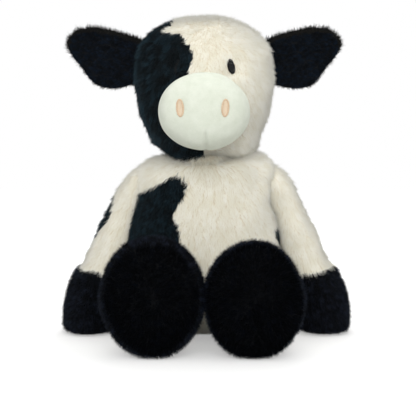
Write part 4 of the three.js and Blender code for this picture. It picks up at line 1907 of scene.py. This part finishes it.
@dataclass
class Ear(Sewing):
    """An ear: a shaggy black back and a smooth lining, sewn to the head along its fold.

    Attributes:
        side: the cow's side that it is on.
        rows: along, half width, half thickness and rise of the middle, as shares.
        length: its length, from inside the head.
        width: its width.
        thickness: its thickness.
        inset: how deep the cloth lies under its pile.
        root: where it starts, on the left side.
        rise: how far it points up, in degrees.
        cup: how far its edges come forward of its middle.
        lumps: the height of its cloth's waves.
        border: how wide the back's pile shows in front, above and at the tip.
        fill: how tightly it is stuffed, from 0 to 1.
        back: the pile of its back.
        lining: the pile of its lining.
    """

    side: Side
    rows: Rows = (
        (0, 0.72, 0.8, 0), (0.13, 0.83, 0.9, -0.03), (0.26, 0.96, 1, -0.09),
        (0.42, 1.03, 1, -0.13), (0.57, 1.01, 0.95, -0.1), (0.68, 0.88, 0.9, 0.01),
        (0.78, 0.7, 0.8, 0.1), (0.88, 0.53, 0.62, 0.16), (0.95, 0.33, 0.4, 0.17), (1, 0, 0, 0.16),
    )
    length: float = 92
    width: float = 64
    thickness: float = 9
    inset: float = 3.0
    root: Place = (60.2, 3.0, 289.0)
    rise: float = 12
    cup: float = 4
    lumps: float = 0.9
    border: float = 8
    fill: float = 0.3
    back: Coat = Coat(
        length=5.4, width=0.62, density=1.6, lean=0.46, tufts=0.07,
        pull=0.5, stray=0.36, swirl=0.8, softness=0.2, seed=33,
    )
    lining: Coat = Coat(
        length=3.4, density=2.0, lean=0.58, tufts=0.08, pull=0.5, swirl=0.7, seed=35, softness=0.2
    )

    def form(self) -> Limb:
        """Lays the ear's form out from the head.

        Returns:
            The form.
        """
        turn = math.radians(self.rise)
        s = self.side.value
        axis = (s * math.cos(turn), 0.0, math.sin(turn))
        up = (-s * math.sin(turn), 0.0, math.cos(turn))
        half = self.width / 2
        reach, wide = self.length - self.inset, half - self.inset
        table = [(a * reach, w * wide, t * self.thickness / 2, r * half) for a, w, t, r in self.rows]
        across, behind, height = self.root
        return Limb(table, (s * across, behind, height), axis, up, (0, 1, 0))

    def at(self, along: Array, column: int) -> Array:
        """A size from the rows at places along the axis."""
        places = [row[0] * self.length for row in self.rows]
        return np.interp(along, places, [row[column] for row in self.rows]) * self.width / 2

    def skin(self, limb: Limb) -> Surface:
        """Shapes the cupped skin.

        Args:
            limb: the form.

        Returns:
            The skin with its pile.
        """
        surface = limb.surface(rings=64, sides=72)
        axis, up = np.array(limb.axis), np.array(limb.outward)
        along, across = limb.along(surface.points), limb.aside(surface.points)
        lift = (across / (self.width / 2)) ** 2
        waves = ripple(surface.points, wave=24, seed=45) * self.lumps
        surface.points[:, 1] -= self.cup * lift - 1.5 + waves
        surface.normals = surface.outward()
        rim = 1 - np.abs(surface.normals[:, 1])
        tip = smooth(0.45, 1.0, along / self.length)
        low = smooth(0.0, -0.6, across / (self.width / 2))
        surface.pile = 0.75 + 0.4 * rim + 0.15 * tip - 0.45 * low * rim
        surface.cover = HEAD_POD.uncovered(surface.points, 8)
        edge = across[:, None] * up * (0.5 + 1.2 * rim[:, None]) / (self.width / 2)
        surface.brush(axis * 0.8 + edge)
        surface.comb = unit(surface.comb + edge * rim[:, None] * 1.2)
        return surface

    def panels(self) -> list[Panel]:
        """Cuts the lining out of the skin.

        Returns:
            The panels.
        """
        limb = self.form()
        surface = self.skin(limb)
        along, across = limb.along(surface.middles()), limb.aside(surface.middles())
        reach = self.at(along, 1)
        off = across - self.at(along, 3)
        uneven = ripple(surface.middles() - np.array(limb.start), wave=12, seed=39) * 1.2
        inner = (off < reach - self.border + uneven) & (off > 1.5 - reach)
        facing = surface.normals[surface.faces].mean(axis=1)[:, 1] < 0
        lining = facing & inner & (along < self.length - self.border)
        name = f"ear_{self.side.word}"
        sewn = limb.sewn("head", name, 8, 24)
        outside, inside = surface.panel(~lining), surface.panel(lining)
        inside.pile = np.ones(len(inside.points))
        inside.brush(np.array(limb.axis))
        return [
            Panel(f"{name}_{word}", cut, plush, coat, sewn, wall=wall, fill=self.fill)
            for word, cut, plush, coat, wall in (
                ("back", outside, RIM_PLUSH, self.back, 1.4),
                ("lining", inside, LINING_PLUSH, self.lining, 1.2),
            )
        ]


ARM_PATCH = (
    (-0.32, 0.065), (0.4, 0.01), (1.4, 0.07), (1.4, 0.35), (0.5, 0.385), (-0.32, 0.335),
    (-0.68, 0.205),
)


@dataclass
class Arm(Sewing):
    """An arm: a long sleeve sewn into the torso's side, and a black hoof.

    Attributes:
        side: the cow's side that it is on.
        inset: how far inside the torso's side its axis crosses the shoulder.
        sleeve: along, radius and sway of the sleeve, as shares.
        hoof: the same of the hoof.
        length: its length.
        shoulder: the sleeve's radius.
        radius: the hoof's radius.
        lean: how far it hangs out from straight down, in degrees.
        up: the height of the shoulder.
        seam: where the hoof starts, as a share of the length.
        patch: the black patch's outline on the outer side, or none.
        depth: how deep the cloth lies under its pile.
        lumps: the height of the stuffing's lumps.
        inner: how far the sleeve bulges towards the torso.
        cap: how far the shoulder's cap stands out.
        coat: the cream pile.
        black: the black pile.
        dark: the hoof's pile.
    """

    side: Side
    inset: float
    sleeve: Rows = (
        (-0.18, 0, -0.009), (-0.17, 0.34, -0.009), (-0.14, 0.6, -0.008), (-0.09, 0.8, -0.005),
        (-0.02, 0.92, 0), (0.07, 0.96, 0.005), (0.2, 0.96, 0.012), (0.34, 0.95, 0.02),
        (0.47, 1, 0.021), (0.545, 1.08, 0.02),
    )
    hoof: Rows = (
        (0.568, 0.8, 0.02), (0.6, 0.9, 0.019), (0.666, 0.97, 0.013), (0.752, 1, 0.003),
        (0.85, 1, -0.015), (0.915, 0.93, -0.03), (0.955, 0.8, -0.038), (0.985, 0.5, -0.045),
        (1, 0, -0.05),
    )
    length: float = 170
    shoulder: float = 18
    radius: float = 26
    lean: float = 22
    up: float = 152
    seam: float = 0.54
    patch: Rows = ()
    depth: float = 4.4
    lumps: float = 0.9
    inner: float = 7.4
    cap: float = 0
    coat: Coat = Coat(seed=43, length=8, lean=0.66, swirl=0.36, stray=0.16)
    black: Coat = Coat(seed=44, length=7.5, width=0.58, density=1.4, softness=0.35)
    dark: Coat = Coat(
        seed=45, length=7, width=0.6, density=1.35, lean=0.53, tufts=0.08, stray=0.3, softness=0.2
    )

    def form(self) -> Limb:
        """Hangs the arm's form from the shoulder.

        Returns:
            The form.
        """
        s = self.side.value
        turn = math.radians(self.lean)
        axis = (s * math.sin(turn), 0.0, -math.cos(turn))
        outward = (s * math.cos(turn), 0.0, math.sin(turn))
        table = [
            (a * self.length, r * size, r * size, w * self.length)
            for rows, size in ((self.sleeve, self.shoulder), (self.hoof, self.radius))
            for a, r, w in rows
        ]
        start = (s * (TORSO_POD.width / 2 - self.inset), 0.0, self.up)
        return Limb(table, start, axis, outward, (0, 1, 0), (True, True))

    def skin(self, limb: Limb) -> Surface:
        """Shapes the whole skin, inset under its pile and settled on the floor.

        Args:
            limb: the form.

        Returns:
            The skin with its pile.
        """
        surface = limb.surface(rings=110, sides=64)
        share = limb.along(surface.points) / self.length
        lumps = ripple(surface.points, wave=28, seed=50 + self.side.value) * self.lumps
        outer = (surface.normals @ np.array(limb.outward) + 1) / 2
        inset = self.depth - 0.9 * smooth(-0.05, 0.2, share)
        inset = inset * (0.3 + 0.7 * outer) - self.inner * (1 - outer) * smooth(0.12, 0.34, share)
        cap = smooth(0.06, -0.1, share) * (0.35 + 0.65 * outer) * self.cap
        surface.move(lumps - inset + cap)
        surface.settle(ground=2.2, roundness=2.6)
        surface.cover = TORSO_POD.uncovered(surface.points, 9)
        axis = np.array(limb.axis)
        surface.brush(axis)
        end = share > 0.94
        away = surface.points - (np.array(limb.start) + axis * self.length)
        surface.comb[end] = unit(away * [1, 1, 0.2])[end]
        surface.pile = np.where(surface.points[:, 2] < 4, 0.5, 1.0)
        return surface

    def panels(self) -> list[Panel]:
        """Cuts the hoof and the patch out of the skin.

        Returns:
            The panels.
        """
        limb = self.form()
        surface = self.skin(limb)
        middles = surface.middles()
        aside, along = limb.aside(middles), limb.along(middles) / self.length
        places, _, _, sways = zip(*limb.rows)
        sideways = aside - np.interp(along * self.length, places, sways)
        uneven = ripple(middles, wave=9, seed=51) * 0.006
        is_hoof = along + uneven > self.seam + 0.03 * sideways / self.radius
        is_patch = np.zeros(len(middles), bool)
        if self.patch:
            outline = np.asarray(self.patch) * [self.shoulder, self.length]
            is_patch = within(outline, middles[:, 1], limb.along(middles)) & (aside > 0) & ~is_hoof
        name = f"arm_{self.side.word}"
        sewn = limb.sewn("torso", name, -14, 40)
        sleeve, inside = f"{name}_sleeve", (f"{name}_sleeve", f"{name}_filling")
        cream, hoof = surface.panel(~is_hoof & ~is_patch), surface.panel(is_hoof)
        made = [Panel(sleeve, cream, CREAM_PLUSH, self.coat, sewn, inside)]
        if self.patch:
            patch = surface.panel(is_patch)
            made.append(Panel(f"{name}_patch", patch, BLACK_PLUSH, self.black, sewn))
        black = Panel(f"{name}_hoof", hoof, HOOF_PLUSH, self.dark, Rigid(name), ground=1.2)
        return [*made, black]


@dataclass
class Leg(Sewing):
    """A leg: a short sleeve that folds on the belly, and a big black foot with its sole.

    Attributes:
        side: the cow's side that it is on.
        sleeve: along and half size, as shares.
        foot: along, half width and half height, as shares.
        sleeve_size: the sleeve's half width, half height and the height of its middle.
        foot_size: the same of the foot.
        length: its length, from inside the torso.
        start: where it starts, before the cow's middle.
        apart: how far its middle is from the cow's.
        seam: where the foot starts, as a share of the length.
        sole: where the sole starts.
        fold: where the leg starts to lift, before the middle, and where it lifts in full.
        fold_up: the height of that place.
        inset: how deep the cloth lies under its pile.
        lumps: the height of the stuffing's lumps.
        coat: the sleeve's pile.
        dark: the foot's pile.
        pad: the sole's pile.
        ahead: how much further forwards this foot reaches.
        low: its height, as a share of the usual.
        broad: the foot's width, as a share of the usual.
    """

    side: Side
    sleeve: Rows = ((0, 0.9), (0.3, 0.98), (0.62, 1))
    foot: Rows = (
        (0.7, 0.94, 0.88), (0.77, 0.995, 0.97), (0.87, 1, 1), (0.925, 0.965, 0.97),
        (0.965, 0.82, 0.83), (0.99, 0.5, 0.51), (1, 0, 0),
    )
    sleeve_size: Place = (41, 43, 51.0)
    foot_size: Place = (46.7, 56, 55.5)
    length: float = 118
    start: float = -12
    apart: float = 47.05
    seam: float = 0.67
    sole: float = 0.93
    fold: tuple[float, float] = (-50.0, -80.0)
    fold_up: float = 60.0
    inset: float = 4.2
    lumps: float = 0.7
    coat: Coat = Coat(seed=71, length=8, width=0.6, density=1.15, lean=0.55)
    dark: Coat = Coat(
        seed=72, length=7, width=0.6, density=1.35, lean=0.45, tufts=0.07, stray=0.32, softness=0.2
    )
    pad: Coat = Coat(
        length=5.2, width=0.55, density=1.8, lean=0.3, tufts=0.08,
        stray=0.3, swirl=1.1, softness=0.2, seed=73,
    )
    ahead: float = 0
    low: float = 1
    broad: float = 1

    def form(self) -> Limb:
        """Lays the leg's form forward on the floor.

        Returns:
            The form.
        """
        wide, high, rise = self.sleeve_size
        rows = [(a * self.length, s * high, s * wide, rise) for a, s in self.sleeve]
        wide, high, rise = self.foot_size
        reach = self.length + self.ahead
        rows += [
            (a * reach, h * high * self.low, w * wide * self.broad, rise * self.low)
            for a, w, h in self.foot
        ]
        middle = (self.side.value * self.apart, self.start, 0)
        return Limb(rows, middle, FORWARDS, (0, 0, 1), (1, 0, 0))

    def skin(self, limb: Limb) -> Surface:
        """Shapes the whole skin, inset under its pile and settled on the floor.

        Args:
            limb: the form.

        Returns:
            The skin with its pile.
        """
        surface = limb.surface(rings=96, sides=100)
        share = limb.along(surface.points) / self.length
        inset = self.inset - 1.2 * smooth(0.62, 0.72, share)
        lumps = ripple(surface.points, wave=38, seed=60 + self.side.value) * self.lumps
        surface.move(lumps - inset)
        surface.settle(ground=1.0, roundness=1.2)
        x, y, z = surface.points.T
        surface.cover = TORSO_POD.uncovered(surface.points, 8)
        radial = unit(np.stack([x - self.side.value * self.apart, 0 * y, z - 55], -1))
        front = smooth(0.9, 0.97, share)[:, None]
        surface.brush(np.array(FORWARDS) * (1 - front) + radial * front + [0, 0, -0.25])
        round_the_edge = bump(share, self.sole, 0.05)[:, None]
        surface.comb = unit(surface.comb + radial * round_the_edge * 0.6)
        surface.pile = np.where(z < 3, np.where(y < -112, 0.8, 0.35), 1.0)
        return surface

    def panels(self) -> list[Panel]:
        """Cuts the foot and its sole out of the skin.

        Returns:
            The panels.
        """
        limb = self.form()
        surface = self.skin(limb)
        middles = surface.middles()
        along = limb.along(middles) / self.length
        is_sleeve = along + ripple(middles, wave=9, seed=61) * 0.008 < self.seam
        is_sole = along > self.sole
        word = self.side.word
        leg, foot = f"leg_{word}", f"foot_{word}"
        x = self.side.value * self.apart
        ends = (np.array([x, y, self.fold_up]) for y in self.fold)
        sewn, ride = Sewn("torso", leg, *ends), Rigid(leg)
        sleeve, inside = surface.panel(is_sleeve), (f"{leg}_sleeve", f"{leg}_filling")
        upper = surface.panel(~is_sleeve & ~is_sole)
        return [
            Panel(f"{leg}_sleeve", sleeve, CREAM_PLUSH, self.coat, sewn, inside),
            Panel(f"{foot}_upper", upper, HOOF_PLUSH, self.dark, ride),
            Panel(f"{foot}_sole", surface.panel(is_sole), SOLE_PLUSH, self.pad, ride),
        ]


@dataclass
class Tail(Sewing):
    """The tail: a cream tube with a black tuft, hanging behind.

    Attributes:
        length: its length.
        tube: along and radius of the tube, as shares.
        tuft: the same of the tuft.
        radius: the tube's radius, under its pile.
        tuft_radius: the tuft's radius.
        tilt: how far it hangs out, in degrees.
        root: where it is sewn on, behind the middle and up.
        seam: where the tuft starts, as a share of the length.
        wall: the cloth's thickness.
        coat: the tube's pile.
        shaggy: the tuft's pile.
    """

    length: float = 62
    tube: Rows = ((-0.08, 0), (-0.05, 0.7), (0, 1), (0.3, 0.95), (0.58, 0.9))
    tuft: Rows = ((0.66, 0.5), (0.78, 0.62), (0.88, 0.5), (0.95, 0.28), (0.98, 0))
    radius: float = 3.9
    tuft_radius: float = 10
    tilt: float = 7
    root: tuple[float, float] = (64.5, 74)
    seam: float = 0.58
    wall: float = 0.9
    coat: Coat = Coat(seed=81, length=4.5, density=1.9, lean=0.7, pull=0.4)
    shaggy: Coat = Coat(seed=82, length=15, width=0.65, density=2.6, lean=0.8, pull=0.5)

    def panels(self) -> list[Panel]:
        """Shapes the tail and cuts it into its tube and its tuft.

        Returns:
            The panels.
        """
        turn = math.radians(self.tilt)
        back, down = math.sin(turn), -math.cos(turn)
        rows = [
            (a * self.length, r * size, r * size, 0)
            for part, size in ((self.tube, self.radius), (self.tuft, self.tuft_radius))
            for a, r in part
        ]
        start, axis, other = (0, *self.root), (0, back, down), (0, down, -back)
        limb = Limb(rows, start, axis, (1, 0, 0), other, (True, True))
        surface = limb.surface(rings=52, sides=24)
        axis = np.array(limb.axis)
        surface.brush(axis)
        surface.comb = unit(surface.comb + axis * 0.3)
        surface.cover = TORSO_POD.uncovered(surface.points, 3)
        tuft = limb.along(surface.middles()) / self.length > self.seam
        sewn = limb.sewn("torso", "tail", -2, 12)
        return [
            Panel(name, surface.panel(cut), plush, coat, attachment, wall=self.wall)
            for name, cut, plush, coat, attachment in (
                ("tail_tube", ~tuft, CREAM_PLUSH, self.coat, sewn),
                ("tail_tuft", tuft, BLACK_PLUSH, self.shaggy, Rigid("tail")),
            )
        ]


# Studio


@dataclass
class Studio:
    """A pale floor, soft light and the camera.

    Attributes:
        lens: the camera's focal length.
        sensor: the width of its sensor.
        place: the camera's place.
        down: how far it looks down, in degrees.
        pan: how far it looks towards the cow's left, in degrees.
        lamps: for each lamp its place and its side, in metres, and its power in watts.
        aim: the height that the lamps face, in metres.
        fill: the strength of the light all round.
        ground: the floor's half size.
        paint: the floor's red, green, blue and opacity.
        near: the distance, in metres, up to which the floor is dim, and its own light there.
        far: the distance from which the floor is bright, and its own light there.
    """

    lens: float = 66.87
    sensor: float = 36
    place: Place = (0.73, -833.9, 185.9)
    down: float = 3.54
    pan: float = 0.241
    lamps: dict[str, tuple[Place, float, float]] = field(
        default_factory=lambda: {
            "key": ((-0.04, -1.17, 0.7), 0.9, 7.4), "top": ((0.1, 0.05, 1.4), 1.0, 5.0),
            "rear": ((0.05, 0.95, 1.05), 1.0, 5.0),
        }
    )
    aim: float = 0.15
    fill: float = 0.67
    ground: float = 4000
    paint: tuple[float, ...] = (0.7, 0.7, 0.695, 1)
    near: tuple[float, float] = (0.2, 0.38)
    far: tuple[float, float] = (0.7, 0.56)

    def build(self) -> None:
        """Makes the camera, the floor, the world and the lamps."""
        scene = bpy.context.scene
        scene.view_settings.view_transform = "Standard"
        data = bpy.data.cameras.new("camera")
        data.lens, data.sensor_width = self.lens, self.sensor
        camera = new_object("camera", data)
        camera.location = Vector(self.place) * MM
        turns = math.radians(90 - self.down), 0, -math.radians(self.pan)
        camera.rotation_euler = Euler(turns, "XYZ")
        scene.camera = camera
        self.floor()
        self.world()
        for name, lamp in self.lamps.items():
            self.lamp(name, *lamp)

    def lamp(self, name: str, place: Place, size: float, power: float) -> None:
        """Hangs one square lamp that faces the cow.

        Args:
            name: the lamp's name.
            place: where it hangs, in metres.
            size: its side, in metres.
            power: its power, in watts.
        """
        data = bpy.data.lights.new(name, "AREA")
        data.size, data.energy = size, power
        lamp = new_object(name, data)
        lamp.location = place
        aim = Vector((0, 0, self.aim)) - Vector(place)
        lamp.rotation_euler = aim.to_track_quat("-Z", "Y").to_euler()

    def floor(self) -> None:
        """Lays the pale floor, which keeps the cow's shadow."""
        corners = ((-1, -1, 0), (1, -1, 0), (1, 1, 0), (-1, 1, 0))
        points = np.array(corners) * self.ground
        mesh = new_mesh("floor", points, np.array([[0, 1, 2], [0, 2, 3]]))
        made, nodes, shader = new_material("studio_floor")
        (near, dim), (far, bright) = self.near, self.far
        place = nodes.add("ShaderNodeTexCoord", {}, "Object")
        away = nodes.vector("LENGTH", place, output="Value")
        glow = nodes.add(
            "ShaderNodeMapRange",
            {"Value": away, "From Min": near, "From Max": far, "To Min": dim, "To Max": bright},
            "Result", interpolation_type="SMOOTHSTEP",
        )
        nodes.feed(
            shader,
            {
                "Base Color": self.paint, "Roughness": 1.0, "Specular IOR Level": 0.0,
                "Emission Color": (1, 1, 0.995, 1),
                "Emission Strength": nodes.product(self.seen(nodes), glow),
            },
        )
        mesh.materials.append(made)
        new_object("floor", mesh)

    @staticmethod
    def seen(nodes: Nodes) -> Any:
        """Tells what the camera sees, also in gloss and through glass, from other light.

        Args:
            nodes: the material's or the world's nodes.

        Returns:
            The socket, 1 for what the camera sees and 0 otherwise.
        """
        path = nodes.add("ShaderNodeLightPath", {}, "Is Camera Ray")
        outputs = path.node.outputs
        gloss = nodes.value("MAXIMUM", outputs["Is Glossy Ray"], outputs["Is Transmission Ray"])
        return nodes.value("MAXIMUM", path, gloss)

    def world(self) -> None:
        """Makes the white surroundings, and the soft light that they give."""
        world = bpy.data.worlds.new("studio")
        bpy.context.scene.world = world
        world.use_nodes = True
        nodes = Nodes(world.node_tree)
        light = {"Factor_Float": self.seen(nodes), "A_Float": self.fill, "B_Float": 1.0}
        strength = nodes.add("ShaderNodeMix", light)
        back = world.node_tree.nodes["Background"]
        nodes.feed(back, {"Color": (1, 1, 1, 1), "Strength": strength})


def main() -> None:
    """Builds the cow and its studio."""
    logging.basicConfig(level=logging.INFO, format="%(message)s")
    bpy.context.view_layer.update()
    Studio().build()
    furrier = Furrier()
    head = Head()
    for part in (Torso(), Neck(), head):
        part.build(furrier)
    Muzzle().build()
    Eyes().build(head.skin())
    for part in (
        *(Ear(side) for side in Side), Arm(Side.LEFT, 3.5, cap=2.0),
        Arm(Side.RIGHT, 9, patch=ARM_PATCH), Leg(Side.LEFT, ahead=3, low=0.985),
        Leg(Side.RIGHT, apart=48.3, low=1.025, broad=1.045), Tail(),
    ):
        part.build(furrier)
    furrier.close()


if __name__ == "__main__":
    main()
